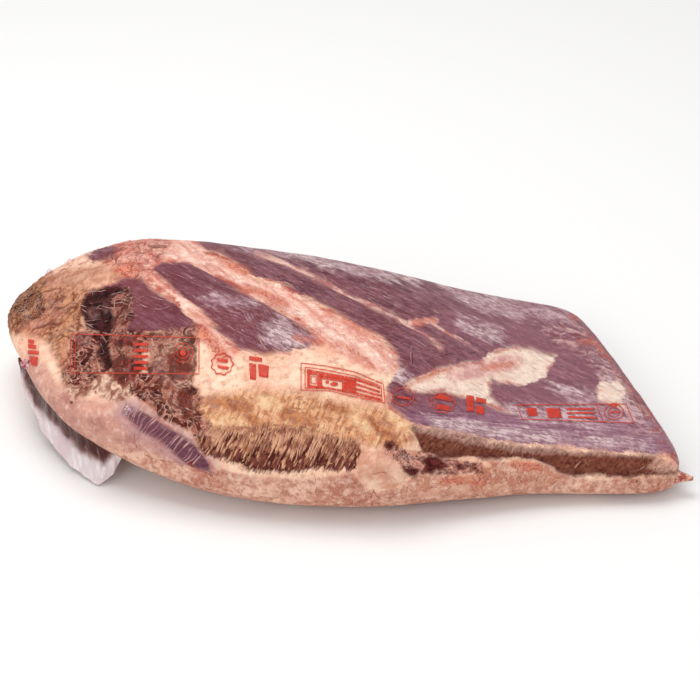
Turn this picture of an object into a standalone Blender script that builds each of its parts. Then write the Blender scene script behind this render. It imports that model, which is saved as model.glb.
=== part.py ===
"""Raw beef brisket sealed in clear shrink film, lying on its fat side.

Metres, +Z up. +X runs along the meat from the thick point end to the thin flat end, and -Y is its
front. The origin is under the middle of the whole object, on the surface that it rests on.

The meat and its tight film are one body, made from a sphere with its poles at the two ends. Each
ring of the sphere becomes a section of the meat, a squared-off oval whose front, back, heights and
squareness change smoothly along the length. Both ends are cut at a slant. The soft muscles, the
hollow in the point and the ledge under the cut side are pressed into that form. The loose film
that hangs from the point end and the twisted tip of film at the flat end are joined to it.
"""

import math

import bmesh
import bpy
import numpy as np

NAME = "sealed_brisket"

# Size of the body, from its middle to the ends.
POINT_REACH = 0.230
FLAT_REACH = 0.196

# Shape along the length. Each pair is a place, -1 at the point end to 1 at the flat end, and a value.
FRONT_EDGE = [(-1, -0.104), (-0.7, -0.119), (-0.4, -0.131), (-0.07, -0.1335), (0.2, -0.124), (0.47, -0.113), (1, -0.112)]
BACK_EDGE = [(-1, 0.114), (-0.6, 0.126), (-0.2, 0.125), (0.2, 0.123), (0.6, 0.116), (1, 0.108)]
FRONT_HEIGHT = [(-1, 0.080), (-0.6, 0.088), (-0.2, 0.080), (0.2, 0.066), (0.6, 0.048), (1, 0.038)]
CROWN_HEIGHT = [(-1, 0.086), (-0.6, 0.113), (-0.2, 0.102), (0.2, 0.081), (0.6, 0.056), (1, 0.040)]
BACK_HEIGHT = [(-1, 0.074), (-0.6, 0.102), (-0.2, 0.088), (0.2, 0.068), (0.6, 0.047), (1, 0.037)]
END_SLANT = [(-1, 0.40), (0, 0.25), (1, 0.28)]
TOP_SQUARENESS = [(-1, 2.4), (-0.5, 2.6), (0, 3.0), (0.5, 3.6), (1, 3.8)]
BASE_SQUARENESS = [(-1, 3.2), (-0.5, 4.2), (0, 4.0), (1, 4.0)]

# How squarely the ends close, in plan at the front and back corners, and in height.
POINT_CORNERS = (4.2, 2.9)
FLAT_CORNERS = (10.0, 18.0)
POINT_THICKNESS = 2.7
FLAT_THICKNESS = 6.0

BASE_LIFT = 0.022
BASE_LIFT_START = -0.5
BASE_LIFT_POWER = 2.2
SETTLED = 0.004

# Rings along the length, points round each ring, and how the points gather on the top.
RINGS = 58
RING_POINTS = 48
RING_SPACING = (3.0, 6.0)
TOP_GATHER = 0.3

# Pads and dents on the top: place x and y, reach along and across, turn in degrees, height.
TOP_RELIEF = {
    "hollow in the point": (-0.168, -0.020, 0.013, 0.024, -8, -0.0065),
    "foot of the hollow": (-0.165, -0.058, 0.012, 0.018, 0, -0.0035),
    "fat knob": (-0.152, 0.040, 0.016, 0.026, 0, 0.0030),
    "first muscle": (-0.132, -0.024, 0.022, 0.016, -30, 0.0025),
    "second muscle": (-0.088, -0.016, 0.045, 0.015, -38, 0.0022),
    "seam of fat": (-0.060, 0.004, 0.070, 0.009, -38, -0.0016),
    "third muscle": (-0.005, -0.020, 0.060, 0.016, -34, 0.0018),
    "long muscle": (0.010, 0.050, 0.110, 0.026, -18, 0.0016),
    "near flat muscle": (0.120, -0.058, 0.030, 0.014, 0, 0.0016),
    "far flat muscle": (0.155, 0.004, 0.026, 0.020, 20, 0.0014),
    "fat between them": (0.095, -0.026, 0.040, 0.010, 15, -0.0012),
}

# The same on the front: place x and z, reach along and up, turn in degrees, height.
FRONT_RELIEF = {
    "fat pillow": (-0.178, 0.050, 0.024, 0.016, -20, 0.0030),
    "groove under it": (-0.132, 0.036, 0.034, 0.005, -12, -0.0025),
    "striped muscle": (-0.124, 0.056, 0.032, 0.009, -28, -0.0012),
    "open grain": (-0.045, 0.055, 0.050, 0.010, -3, -0.0024),
    "fat flap": (0.022, 0.042, 0.020, 0.012, 0, 0.0032),
    "split beside the flap": (0.058, 0.046, 0.020, 0.005, -24, -0.0052),
    "cut side": (0.140, 0.034, 0.062, 0.009, -7, -0.0026),
    "ledge of fat": (0.100, 0.018, 0.090, 0.008, -6, 0.0016),
}
SOFT_EDGE = 0.35

# The loose film: where it leaves the point end, as angles of its rings, its free hem and its thickness.
TAIL_ANGLES = (-88, -47)
TAIL_HEM = [
    (-0.2300, 0.006, 0.042),
    (-0.2270, -0.008, 0.034),
    (-0.2225, -0.019, 0.025),
    (-0.2145, -0.032, 0.016),
    (-0.2050, -0.048, 0.010),
    (-0.1940, -0.063, 0.006),
    (-0.1810, -0.078, 0.003),
    (-0.1695, -0.0885, 0.0015),
    (-0.1620, -0.087, 0.005),
    (-0.1535, -0.0835, 0.0135),
]
TAIL_SAG = 0.003
TAIL_ROOT_DEPTH = 0.003
TAIL_WALL = 0.016

# The twisted tip of film at the flat end, as a flattened cone.
TIP_BASE = (0.204, -0.093, 0.013)
TIP_END = (0.2265, -0.0985, 0.0135)
TIP_RADIUS = 0.011
TIP_END_RADIUS = 0.0016
TIP_FLATNESS = 0.55
TIP_SIDES = 12

FILM_TINT = (0.42, 0.22, 0.20, 1.0)
ROUGHNESS = 0.3


def smooth_curve(points, place):
    """Value at each place of the smooth curve through (place, value) points."""
    places, values = np.array(points, float).T
    slopes = np.gradient(values, places)
    place = np.clip(place, places[0], places[-1])
    left = np.clip(np.searchsorted(places, place) - 1, 0, len(places) - 2)
    gap = places[left + 1] - places[left]
    t = (place - places[left]) / gap
    from_left = (2 * t**3 - 3 * t**2 + 1) * values[left] + (t**3 - 2 * t**2 + t) * gap * slopes[left]
    from_right = (3 * t**2 - 2 * t**3) * values[left + 1] + (t**3 - t**2) * gap * slopes[left + 1]
    return from_left + from_right


def ease(t):
    """0 to 1 with level ends."""
    t = np.clip(t, 0, 1)
    return t * t * (3 - 2 * t)


def squared_circle(angle, squareness):
    """Cosine and sine of the angle, pushed out to a superellipse."""
    cosine, sine = np.cos(angle), np.sin(angle)
    reach = (np.abs(cosine) ** squareness + np.abs(sine) ** squareness) ** (-1 / squareness)
    return cosine * reach, sine * reach


def closing(along, squareness):
    """1 in the middle of the length and 0 at the ends."""
    return np.clip(1 - np.abs(along) ** squareness, 0, 1) ** (1 / squareness)


def body_form(along, turn):
    """Points of the body, along its length from -1 to 1 and round it from 0 at the front, up over the top."""
    squareness = np.where(np.sin(turn) > 0, smooth_curve(TOP_SQUARENESS, along), smooth_curve(BASE_SQUARENESS, along))
    cosine, up = squared_circle(turn, squareness)
    back = -cosine
    share = (back + 1) / 2
    point_corner = POINT_CORNERS[0] + (POINT_CORNERS[1] - POINT_CORNERS[0]) * share
    flat_corner = FLAT_CORNERS[0] + (FLAT_CORNERS[1] - FLAT_CORNERS[0]) * share
    width = closing(along, np.where(along < 0, point_corner, flat_corner))
    thickness = closing(along, np.where(along < 0, POINT_THICKNESS, FLAT_THICKNESS))
    front_edge, back_edge = smooth_curve(FRONT_EDGE, along), smooth_curve(BACK_EDGE, along)
    y = (front_edge + back_edge) / 2 + back * (back_edge - front_edge) / 2 * width
    x = along * np.where(along < 0, POINT_REACH, FLAT_REACH) - smooth_curve(END_SLANT, along) * y
    low, crown, high = (smooth_curve(c, along) for c in (FRONT_HEIGHT, CROWN_HEIGHT, BACK_HEIGHT))
    across = back * width
    top = crown + (high - low) / 2 * across + ((high + low) / 2 - crown) * across**2
    base = BASE_LIFT * np.clip((BASE_LIFT_START - along) / (1 + BASE_LIFT_START), 0, 1) ** BASE_LIFT_POWER
    z = (top + base) / 2 + up * (top - base) / 2 * thickness - SETTLED
    return np.stack([x, y, np.maximum(z, 0)], -1)


def relief_height(table, first, second):
    """Summed height of a table's pads and dents at two coordinates."""
    height = np.zeros_like(first)
    for place_1, place_2, reach, reach_across, turn, rise in table.values():
        cosine, sine = math.cos(math.radians(turn)), math.sin(math.radians(turn))
        along = (first - place_1) * cosine + (second - place_2) * sine
        across = (second - place_2) * cosine - (first - place_1) * sine
        height += rise * np.exp(-((along / reach) ** 2) - (across / reach_across) ** 2)
    return height


def relief(points, normals):
    """Height of the relief, on the sides that face up and forward only."""
    x, y, z = points.T
    upward = ease(normals[:, 2] / SOFT_EDGE)
    forward = ease(-normals[:, 1] / SOFT_EDGE)
    return upward * relief_height(TOP_RELIEF, x, y) + forward * relief_height(FRONT_RELIEF, x, z)


def vertex_array(mesh, attribute):
    """The mesh's vertex coordinates or normals as rows of three."""
    values = np.empty(len(mesh.vertices) * 3, np.float32)
    mesh.vertices.foreach_get(attribute, values)
    return values.reshape(-1, 3).astype(float)


def body_object():
    """The meat in its tight film: a sphere moved to the body's form, then its relief."""
    grid = bmesh.new()
    bmesh.ops.create_uvsphere(grid, u_segments=RING_POINTS, v_segments=RINGS, radius=1)
    bmesh.ops.triangulate(grid, faces=grid.faces)
    mesh = bpy.data.meshes.new(NAME)
    grid.to_mesh(mesh)
    grid.free()
    x, y, z = vertex_array(mesh, "co").T
    round_angle = np.arctan2(-y, x)
    latitude = np.arcsin(np.clip(z, -1, 1))
    _, along = squared_circle(latitude, np.where(z < 0, *RING_SPACING))
    points = body_form(along, round_angle + TOP_GATHER * np.cos(round_angle))
    mesh.vertices.foreach_set("co", points.ravel())
    mesh.update()
    normals = vertex_array(mesh, "normal")
    points += normals * relief(points, normals)[:, None]
    points[:, 2] = np.maximum(points[:, 2], 0)
    mesh.vertices.foreach_set("co", points.ravel())
    mesh.update()
    return bpy.data.objects.new(NAME, mesh)


def tail_object():
    """The loose film under the point end, as a solid from the body's front down to its free hem."""
    hem = np.array(TAIL_HEM)
    _, along = squared_circle(np.radians(np.linspace(*TAIL_ANGLES, len(hem))), RING_SPACING[0])
    edge = body_form(along, np.zeros(len(hem)))
    inward = -edge * (1, 1, 0)
    inward /= np.linalg.norm(inward, axis=1)[:, None]
    root = edge + inward * TAIL_ROOT_DEPTH
    inside = edge + inward * TAIL_WALL
    middle = (edge + hem) / 2 + inward * TAIL_SAG
    floor = hem + inward * TAIL_WALL
    loft = bmesh.new()
    sections = [[loft.verts.new(corner) for corner in section] for section in zip(inside, root, middle, hem, floor)]
    for one, other in zip(sections, sections[1:]):
        for k, corner in enumerate(one):
            after = (k + 1) % len(one)
            loft.faces.new((corner, one[after], other[after], other[k]))
    loft.faces.new(reversed(sections[0]))
    loft.faces.new(sections[-1])
    bmesh.ops.recalc_face_normals(loft, faces=loft.faces)
    bmesh.ops.triangulate(loft, faces=loft.faces)
    mesh = bpy.data.meshes.new("film_tail")
    loft.to_mesh(mesh)
    loft.free()
    return bpy.data.objects.new("film_tail", mesh)


def tip_object():
    """The twisted tip of film, as a cone from inside the flat end out to its point."""
    start, end = np.array(TIP_BASE), np.array(TIP_END)
    reach = end - start
    length = float(np.linalg.norm(reach))
    cone = bmesh.new()
    bmesh.ops.create_cone(
        cone, cap_ends=True, segments=TIP_SIDES, radius1=TIP_RADIUS, radius2=TIP_END_RADIUS, depth=length
    )
    mesh = bpy.data.meshes.new("film_tip")
    cone.to_mesh(mesh)
    cone.free()
    tip = bpy.data.objects.new("film_tip", mesh)
    tip.scale = (TIP_FLATNESS, 1, 1)
    tip.rotation_euler = (0, math.acos(reach[2] / length), math.atan2(reach[1], reach[0]))
    tip.location = (start + end) / 2
    return tip


def join(body, extras):
    """One closed body from the body and the pieces that cross it."""
    helpers = bpy.data.collections.new("joined film")
    bpy.context.scene.collection.children.link(helpers)
    for piece in extras:
        helpers.objects.link(piece)
    union = body.modifiers.new("join", "BOOLEAN")
    union.operation = "UNION"
    union.operand_type = "COLLECTION"
    union.collection = helpers
    union.solver = "EXACT"
    bpy.context.view_layer.update()
    joined = bpy.data.meshes.new_from_object(body.evaluated_get(bpy.context.evaluated_depsgraph_get()))
    body.modifiers.clear()
    body.data = joined
    joined.name = NAME
    for piece in extras:
        bpy.data.objects.remove(piece)
    bpy.data.collections.remove(helpers)


def centre_over_base(body):
    """Moves the mesh so that the origin is under the middle of its box."""
    points = vertex_array(body.data, "co")
    middle = (points.min(axis=0) + points.max(axis=0)) / 2
    middle[2] = points[:, 2].min()
    body.data.vertices.foreach_set("co", (points - middle).ravel())
    body.data.update()


def film_material():
    """Clear glossy film over red meat and cream fat, in their mean colour."""
    material = bpy.data.materials.new("sealed meat")
    material.use_nodes = True
    shader = material.node_tree.nodes["Principled BSDF"]
    shader.inputs["Base Color"].default_value = FILM_TINT
    shader.inputs["Roughness"].default_value = ROUGHNESS
    shader.inputs["Metallic"].default_value = 0.0
    return material


def main():
    """Builds the sealed brisket in a collection of its own."""
    for old in list(bpy.data.objects):
        bpy.data.objects.remove(old)
    collection = bpy.data.collections.new("raw beef brisket")
    bpy.context.scene.collection.children.link(collection)
    body = body_object()
    collection.objects.link(body)
    join(body, [tail_object(), tip_object()])
    centre_over_base(body)
    body.data.materials.clear()
    body.data.materials.append(film_material())
    body.data.shade_smooth()


main()
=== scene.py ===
"""The looks of a whole raw beef brisket sealed in clear printed shrink film, lying on its fat side.

The meat is one fine surface with the solid's own form. Where the lean, the fat, the cut side and the
rest lie on it is drawn as outlines in the photo's view, in picture points, and those outlines wrap on
past the edge of that view over the back, the end and the underside. Each outline gives every vertex
its distance inside or outside, and the finish turns those distances into colours with ragged edges.
The film is a second surface just outside the meat, with its printing laid on it.
"""

import itertools
import math
from types import SimpleNamespace

import bmesh
import bpy
import numpy as np
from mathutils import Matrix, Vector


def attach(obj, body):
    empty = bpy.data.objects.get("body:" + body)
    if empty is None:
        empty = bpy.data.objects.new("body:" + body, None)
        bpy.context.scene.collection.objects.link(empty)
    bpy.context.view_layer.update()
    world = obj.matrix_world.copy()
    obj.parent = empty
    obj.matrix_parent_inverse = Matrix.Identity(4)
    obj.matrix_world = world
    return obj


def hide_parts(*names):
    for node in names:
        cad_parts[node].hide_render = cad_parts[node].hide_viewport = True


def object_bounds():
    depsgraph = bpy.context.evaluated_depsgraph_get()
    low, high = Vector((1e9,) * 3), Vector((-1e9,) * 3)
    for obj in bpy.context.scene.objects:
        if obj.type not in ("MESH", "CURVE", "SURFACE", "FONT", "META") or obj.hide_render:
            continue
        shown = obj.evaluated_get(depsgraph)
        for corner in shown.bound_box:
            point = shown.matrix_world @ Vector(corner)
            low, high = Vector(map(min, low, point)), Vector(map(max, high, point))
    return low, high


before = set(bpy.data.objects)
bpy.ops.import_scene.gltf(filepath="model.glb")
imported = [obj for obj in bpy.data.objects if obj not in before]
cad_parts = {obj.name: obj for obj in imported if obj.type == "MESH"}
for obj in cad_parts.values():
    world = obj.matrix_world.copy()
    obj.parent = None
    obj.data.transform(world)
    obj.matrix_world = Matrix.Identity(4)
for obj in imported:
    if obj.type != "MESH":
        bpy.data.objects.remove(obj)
cad_low, cad_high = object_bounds()

NODE = "sealed_brisket"
MM = 0.001

# The solid's form, in metres, with the middle of its length at x 0. Each pair is a place along the
# length, -1 at the point end to 1 at the flat end, and a value.
FORM_PLACE = np.array((0.0084, 0.0039, 0.0))
POINT_REACH = 0.230
FLAT_REACH = 0.196
FRONT_EDGE = [
    (-1, -0.104), (-0.7, -0.119), (-0.4, -0.131), (-0.07, -0.1335), (0.2, -0.124), (0.47, -0.113),
    (1, -0.112),
]
BACK_EDGE = [(-1, 0.114), (-0.6, 0.126), (-0.2, 0.125), (0.2, 0.123), (0.6, 0.116), (1, 0.108)]
FRONT_HEIGHT = [(-1, 0.080), (-0.6, 0.088), (-0.2, 0.080), (0.2, 0.066), (0.6, 0.048), (1, 0.038)]
CROWN_HEIGHT = [(-1, 0.086), (-0.6, 0.113), (-0.2, 0.102), (0.2, 0.081), (0.6, 0.056), (1, 0.040)]
BACK_HEIGHT = [(-1, 0.074), (-0.6, 0.102), (-0.2, 0.088), (0.2, 0.068), (0.6, 0.047), (1, 0.037)]
END_SLANT = [(-1, 0.40), (0, 0.25), (1, 0.28)]
TOP_SQUARENESS = [(-1, 2.4), (-0.5, 2.6), (0, 3.0), (0.5, 3.6), (1, 3.8)]
BASE_SQUARENESS = [(-1, 3.2), (-0.5, 4.2), (0, 4.0), (1, 4.0)]
POINT_CORNERS = (4.2, 2.9)
FLAT_CORNERS = (10.0, 18.0)
POINT_THICKNESS = 2.7
FLAT_THICKNESS = 6.0
BASE_LIFT = 0.022
BASE_LIFT_START = -0.5
BASE_LIFT_POWER = 2.2
SETTLED = 0.004
RING_SPACING = (3.0, 6.0)

# Pads and dents on the top: place x and y, reach along and across, turn in degrees, height.
TOP_RELIEF = {
    "hollow in the point": (-0.168, -0.020, 0.013, 0.024, -8, -0.0065),
    "foot of the hollow": (-0.165, -0.058, 0.012, 0.018, 0, -0.0035),
    "fat knob": (-0.152, 0.040, 0.016, 0.026, 0, 0.0030),
    "first muscle": (-0.132, -0.024, 0.022, 0.016, -30, 0.0025),
    "second muscle": (-0.088, -0.016, 0.045, 0.015, -38, 0.0022),
    "seam of fat": (-0.060, 0.004, 0.070, 0.009, -38, -0.0016),
    "third muscle": (-0.005, -0.020, 0.060, 0.016, -34, 0.0018),
    "long muscle": (0.010, 0.050, 0.110, 0.026, -18, 0.0016),
    "near flat muscle": (0.120, -0.058, 0.030, 0.014, 0, 0.0016),
    "far flat muscle": (0.155, 0.004, 0.026, 0.020, 20, 0.0014),
    "fat between them": (0.095, -0.026, 0.040, 0.010, 15, -0.0012),
}

# The same on the front: place x and z, reach along and up, turn in degrees, height.
FRONT_RELIEF = {
    "fat pillow": (-0.178, 0.050, 0.024, 0.016, -20, 0.0030),
    "groove under it": (-0.132, 0.036, 0.034, 0.005, -12, -0.0025),
    "striped muscle": (-0.124, 0.056, 0.032, 0.009, -28, -0.0012),
    "open grain": (-0.045, 0.055, 0.050, 0.010, -3, -0.0024),
    "fat flap": (0.022, 0.042, 0.020, 0.012, 0, 0.0032),
    "split beside the flap": (0.058, 0.046, 0.020, 0.005, -24, -0.0052),
    "cut side": (0.140, 0.034, 0.062, 0.009, -7, -0.0026),
    "ledge of fat": (0.100, 0.018, 0.090, 0.008, -6, 0.0016),
}
SOFT_EDGE = 0.35

# The photo's view: its angle above the table, its distance, the point it looks at and the width it takes in
# there.
VIEW_ANGLE = math.radians(32)
VIEW_DISTANCE = 1.5
VIEW_TARGET = FORM_PLACE + (0, 0, 0.052)
VIEW_WIDTH = 0.482
PICTURE = 700

VIEW_AHEAD = np.array((0, math.cos(VIEW_ANGLE), -math.sin(VIEW_ANGLE)))
VIEW_RIGHT = np.array((1.0, 0, 0))
VIEW_UP = np.array((0, math.sin(VIEW_ANGLE), math.cos(VIEW_ANGLE)))
VIEW_PLACE = VIEW_TARGET - VIEW_DISTANCE * VIEW_AHEAD
VIEW_SLOPE = VIEW_WIDTH / 2 / VIEW_DISTANCE
POINT_SIZE = VIEW_WIDTH / PICTURE

# Outlines in picture points of the 700 by 700 view. Beyond the meat's edge they wrap over its back.
LEAN = {
    "first": [
        (86, 294), (104, 284), (124, 275), (140, 275), (151, 286), (168, 297), (181, 307), (197, 323),
        (190, 331), (160, 329), (136, 334), (110, 332), (90, 320),
    ],
    "second": [
        (151, 267), (162, 260), (189, 261), (225, 279), (258, 298), (285, 312), (312, 330), (318, 342),
        (300, 348), (263, 353), (240, 347), (220, 332), (203, 310), (189, 300), (171, 285),
    ],
    "long": [
        (196, 236), (207, 248), (222, 251), (239, 264), (257, 275), (280, 279), (302, 292), (343, 314),
        (360, 322), (381, 334), (396, 349), (400, 366), (388, 384), (392, 405), (412, 421), (437, 427),
        (480, 435), (520, 442), (572, 445), (612, 450), (658, 452), (700, 456), (1200, 456), (1200, 100),
        (336, 100), (270, 146), (222, 190), (202, 214),
    ],
    "striped": [
        (124, 404), (132, 405), (148, 413), (165, 426), (182, 436), (195, 446), (207, 464), (211, 474),
        (198, 471), (182, 464), (174, 456), (164, 447), (152, 438), (139, 431), (130, 422), (121, 412),
    ],
    "behind the knob": [(84, 252), (96, 246), (110, 243), (120, 246), (118, 254), (106, 258), (92, 262)],
}
FAT_ON_LEAN = {
    "near patch": [
        (407, 387), (407, 380), (422, 374), (437, 368), (462, 361), (484, 357), (492, 372), (490, 394),
        (503, 406), (517, 411), (500, 408), (480, 399), (463, 395), (442, 389), (418, 391),
    ],
    "round patch": [
        (478, 368), (484, 355), (495, 348), (515, 345), (530, 346), (545, 352), (557, 354), (553, 362),
        (545, 376), (520, 384), (500, 381),
    ],
    "corner patch": [
        (597, 386), (602, 379), (611, 382), (619, 376), (627, 389), (622, 397), (626, 406), (611, 403),
        (599, 398),
    ],
}
FAT_SEAMS = {
    "long seam": ([(256, 251), (292, 264), (333, 284), (381, 308), (410, 323)], 1.5),
    "near branch": ([(410, 323), (422, 329), (442, 346)], 0.9),
    "far branch": ([(428, 319), (453, 334), (480, 350)], 1.0),
    "knot": ([(413, 320), (436, 319)], 3.0),
    "patch bridge": ([(455, 372), (484, 366), (516, 360)], 5.0),
    "back seam": ([(330, 190), (420, 220), (500, 262), (560, 285)], 3.0),
    "far back seam": ([(200, 160), (300, 176), (420, 178)], 4.0),
}
SILVER = {
    "second muscle's end": [(262, 322), (280, 314), (304, 328), (320, 344), (292, 350), (262, 344)],
    "second muscle's spots": [
        (200, 296), (214, 290), (236, 297), (258, 300), (254, 308), (228, 307), (208, 305),
    ],
    "cloud by the back": [
        (424, 272), (452, 281), (480, 290), (522, 297), (526, 318), (500, 314), (470, 304), (436, 288),
    ],
    "flat end's back edge": [
        (500, 300), (540, 302), (575, 312), (588, 326), (556, 322), (524, 314), (506, 312),
    ],
    "cloud by the far branch": [(458, 318), (480, 321), (500, 330), (508, 344), (486, 340), (466, 330)],
    "skin by the band": [(340, 340), (372, 346), (402, 362), (420, 384), (396, 384), (366, 376), (346, 360)],
    "back edge": [
        (236, 246), (300, 246), (386, 266), (430, 278), (420, 284), (380, 280), (330, 268), (280, 256),
    ],
    "below the round patch": [(546, 380), (575, 384), (604, 394), (590, 404), (560, 398)],
    "flat end's rim": [(598, 340), (620, 372), (640, 402), (656, 430), (640, 430), (618, 404), (600, 372)],
    "under the printing": [
        (506, 402), (540, 406), (590, 402), (640, 402), (646, 424), (600, 428), (540, 422), (510, 412),
    ],
    "front edge": [
        (430, 414), (480, 420), (560, 430), (650, 436), (656, 450), (560, 444), (470, 434), (432, 426),
    ],
    "striped muscle's head": [(92, 396), (118, 392), (140, 400), (140, 412), (124, 418), (104, 412)],
}
BAND = [
    (130, 236), (160, 230), (196, 232), (207, 250), (222, 253), (239, 266), (257, 277), (280, 281),
    (302, 294), (343, 316), (381, 336), (396, 350), (404, 362), (396, 374), (370, 368), (340, 352),
    (316, 336), (297, 318), (266, 302), (236, 285), (215, 275), (200, 266), (180, 260), (152, 262),
    (160, 276), (190, 298), (214, 322), (240, 348), (232, 362), (206, 342), (186, 312), (160, 288),
    (136, 270),
]
CRUST = [
    (196, 396), (240, 388), (300, 390), (350, 400), (392, 406), (418, 424), (412, 444), (396, 456),
    (362, 446), (302, 430), (251, 430), (221, 430), (198, 436), (186, 420),
]
GRAIN = [
    (196, 432), (221, 427), (251, 427), (282, 424), (302, 427), (340, 436), (358, 440), (364, 455),
    (356, 470), (340, 472), (313, 471), (287, 476), (251, 473), (229, 463), (207, 456), (198, 450),
]
GRAIN_TOP = 428
GRAIN_FOOT = ((198, 230, 251, 287, 360), (452, 463, 472, 475, 470))
FLAP = [
    (360, 456), (372, 448), (392, 452), (405, 462), (411, 470), (404, 484), (394, 490), (372, 492),
    (360, 484), (356, 468),
]
CUT_SIDE = [
    (410, 423), (437, 428), (480, 437), (520, 444), (572, 448), (612, 451), (658, 454), (676, 468),
    (760, 468), (760, 482), (676, 479), (640, 477), (612, 480), (578, 478), (557, 476), (549, 467),
    (536, 460), (518, 457), (493, 459), (471, 457), (450, 459), (424, 452),
]
# Crevices and splits: the meat's dark maroon, made near black by painted shade in their depths.
DARK = {
    "hollow": [
        (83, 294), (92, 288), (104, 285), (120, 286), (124, 291), (112, 295), (109, 304), (113, 316),
        (110, 327), (100, 331), (88, 328), (82, 318), (80, 305),
    ],
    "crack below it": [(97, 326), (110, 328), (107, 344), (111, 366), (104, 369), (97, 352)],
    "split": [
        (424, 461), (430, 456), (437, 457), (443, 462), (448, 468), (440, 471), (432, 475), (424, 472),
        (427, 466),
    ],
    "split's near end": [(405, 470), (412, 468), (420, 471), (416, 477), (408, 476)],
    "split's far end": [(455, 465), (464, 466), (466, 470), (458, 470)],
    "split's last fold": [(470, 467), (478, 468), (480, 472), (472, 471)],
    "above the split": [(386, 440), (394, 444), (392, 449), (385, 446)],
}
GREY_LUMPS = {
    "in the hollow": [(85, 308), (89, 305), (94, 306), (97, 311), (95, 316), (90, 318), (86, 314)],
    "by the crack": [(102, 304), (106, 303), (108, 308), (106, 313), (102, 312)],
    "under the hollow": [(73, 334), (78, 330), (85, 330), (90, 336), (88, 343), (81, 345), (75, 341)],
    "between the maroons": [
        (151, 361), (156, 357), (162, 359), (164, 368), (165, 377), (158, 381), (153, 376),
    ],
    "knob under the first muscle": [(190, 322), (195, 320), (200, 324), (199, 330), (193, 331)],
}
SPLIT = [
    (380, 446), (392, 440), (402, 448), (424, 450), (446, 458), (482, 464), (484, 474), (440, 477),
    (408, 474), (398, 464),
]
PILLOW = [
    (28, 352), (44, 362), (54, 380), (58, 384), (76, 397), (98, 398), (124, 396), (134, 404), (146, 424),
    (168, 444), (190, 464), (214, 474), (240, 484), (200, 500), (150, 474), (90, 452), (40, 412), (24, 384),
]
BROWNED = {
    "wrinkled lean": [(108, 289), (126, 287), (131, 300), (131, 318), (124, 331), (110, 331), (107, 310)],
    "lean's foot": [
        (108, 327), (124, 330), (150, 331), (190, 327), (199, 338), (192, 350), (170, 347), (140, 351),
        (110, 351),
    ],
    "under the hollow": [
        (72, 334), (84, 328), (98, 332), (108, 334), (132, 340), (142, 344), (141, 366), (134, 378),
        (124, 388), (112, 378), (98, 368), (92, 378), (84, 388), (72, 386), (64, 372), (68, 352),
    ],
    "by the printing": [
        (150, 347), (176, 343), (194, 346), (197, 362), (192, 380), (174, 382), (150, 379), (146, 362),
    ],
    "lumps": [
        (126, 378), (136, 372), (150, 374), (166, 378), (180, 382), (197, 388), (201, 404), (195, 420),
        (186, 430), (172, 422), (156, 411), (142, 400), (130, 390),
    ],
    "over the grain": [
        (196, 410), (206, 420), (214, 430), (230, 438), (229, 452), (208, 454), (196, 440), (188, 424),
    ],
}
MAROON = {
    "triangle": [(106, 358), (120, 354), (137, 356), (141, 364), (131, 378), (122, 389), (112, 376)],
    "by the printing": [(166, 352), (180, 350), (191, 354), (191, 370), (180, 380), (168, 376)],
    "below it": [(176, 390), (190, 388), (192, 404), (184, 417), (178, 404)],
    "under the first muscle": [(110, 338), (134, 334), (138, 344), (112, 347)],
    "in the grain": [(203, 431), (218, 428), (230, 438), (228, 450), (212, 453), (203, 444)],
    "end of the striped muscle": [(185, 461), (193, 463), (192, 468), (186, 467)],
}
TAN = [
    (-60, 230), (30, 268), (50, 272), (64, 282), (100, 286), (86, 300), (82, 326), (70, 338), (66, 362),
    (72, 386), (64, 388), (56, 362), (50, 346), (38, 338), (22, 334), (-40, 340),
]
PALE_TAN = [(44, 276), (66, 266), (100, 262), (124, 262), (122, 274), (100, 282), (70, 290), (50, 290)]
CREAM_LUMPS = [
    (90, 372), (98, 368), (108, 377), (122, 389), (134, 393), (122, 401), (104, 399), (92, 391), (84, 397),
    (72, 399), (66, 389), (78, 383), (88, 381),
]
SOILED = [(6, 304), (16, 290), (30, 280), (42, 286), (44, 300), (40, 312), (22, 320), (8, 318)]
KNOBBLY = [
    (96, 240), (130, 222), (160, 224), (172, 240), (162, 256), (146, 276), (132, 284), (118, 270), (104, 258),
]
CAP_TOP = [
    (-120, 384), (22, 376), (60, 420), (96, 446), (140, 454), (185, 466), (212, 470), (250, 478), (300, 480),
    (352, 476), (372, 494), (402, 490), (420, 474), (470, 480), (500, 462), (545, 464), (566, 477),
    (600, 482), (640, 478), (760, 480), (1200, 456), (1200, 900), (-120, 900),
]
BLUSHED = [
    (400, 494), (408, 478), (436, 474), (462, 474), (486, 462), (520, 460), (546, 468), (560, 482),
    (536, 490), (480, 492), (430, 496),
]
MOTTLED = [
    (560, 316), (590, 332), (612, 362), (636, 400), (652, 432), (630, 430), (612, 404), (598, 372),
    (580, 352), (556, 344), (540, 326),
]
RIM = [
    (570, 314), (583, 325), (604, 352), (628, 384), (647, 410), (659, 434), (672, 460), (700, 470),
    (716, 464), (694, 424), (668, 384), (634, 334), (592, 296),
]
CUT_TOP = (
    [(408, 424), (437, 430), (480, 440), (520, 447), (548, 448), (590, 449), (627, 450), (658, 452)], 4.0,
)
CUT_FOOT = (
    [
        (430, 456), (450, 458), (493, 459), (520, 457), (538, 460), (549, 467), (557, 475), (580, 477),
        (612, 479), (640, 477), (672, 478),
    ],
    4.5,
)
CUT_END = [(655, 453), (676, 462), (684, 472), (664, 474), (650, 466)]
BROWN_CRUST = {
    "left": ([(214, 398), (230, 402), (246, 407)], 7.0),
    "middle": ([(284, 412), (298, 417), (312, 420)], 6.0),
    "far": ([(328, 402), (348, 410)], 5.0),
    "by the flap": ([(370, 420), (386, 432), (392, 440)], 6.0),
    "over the grain": ([(250, 418), (262, 424)], 5.0),
}
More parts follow.
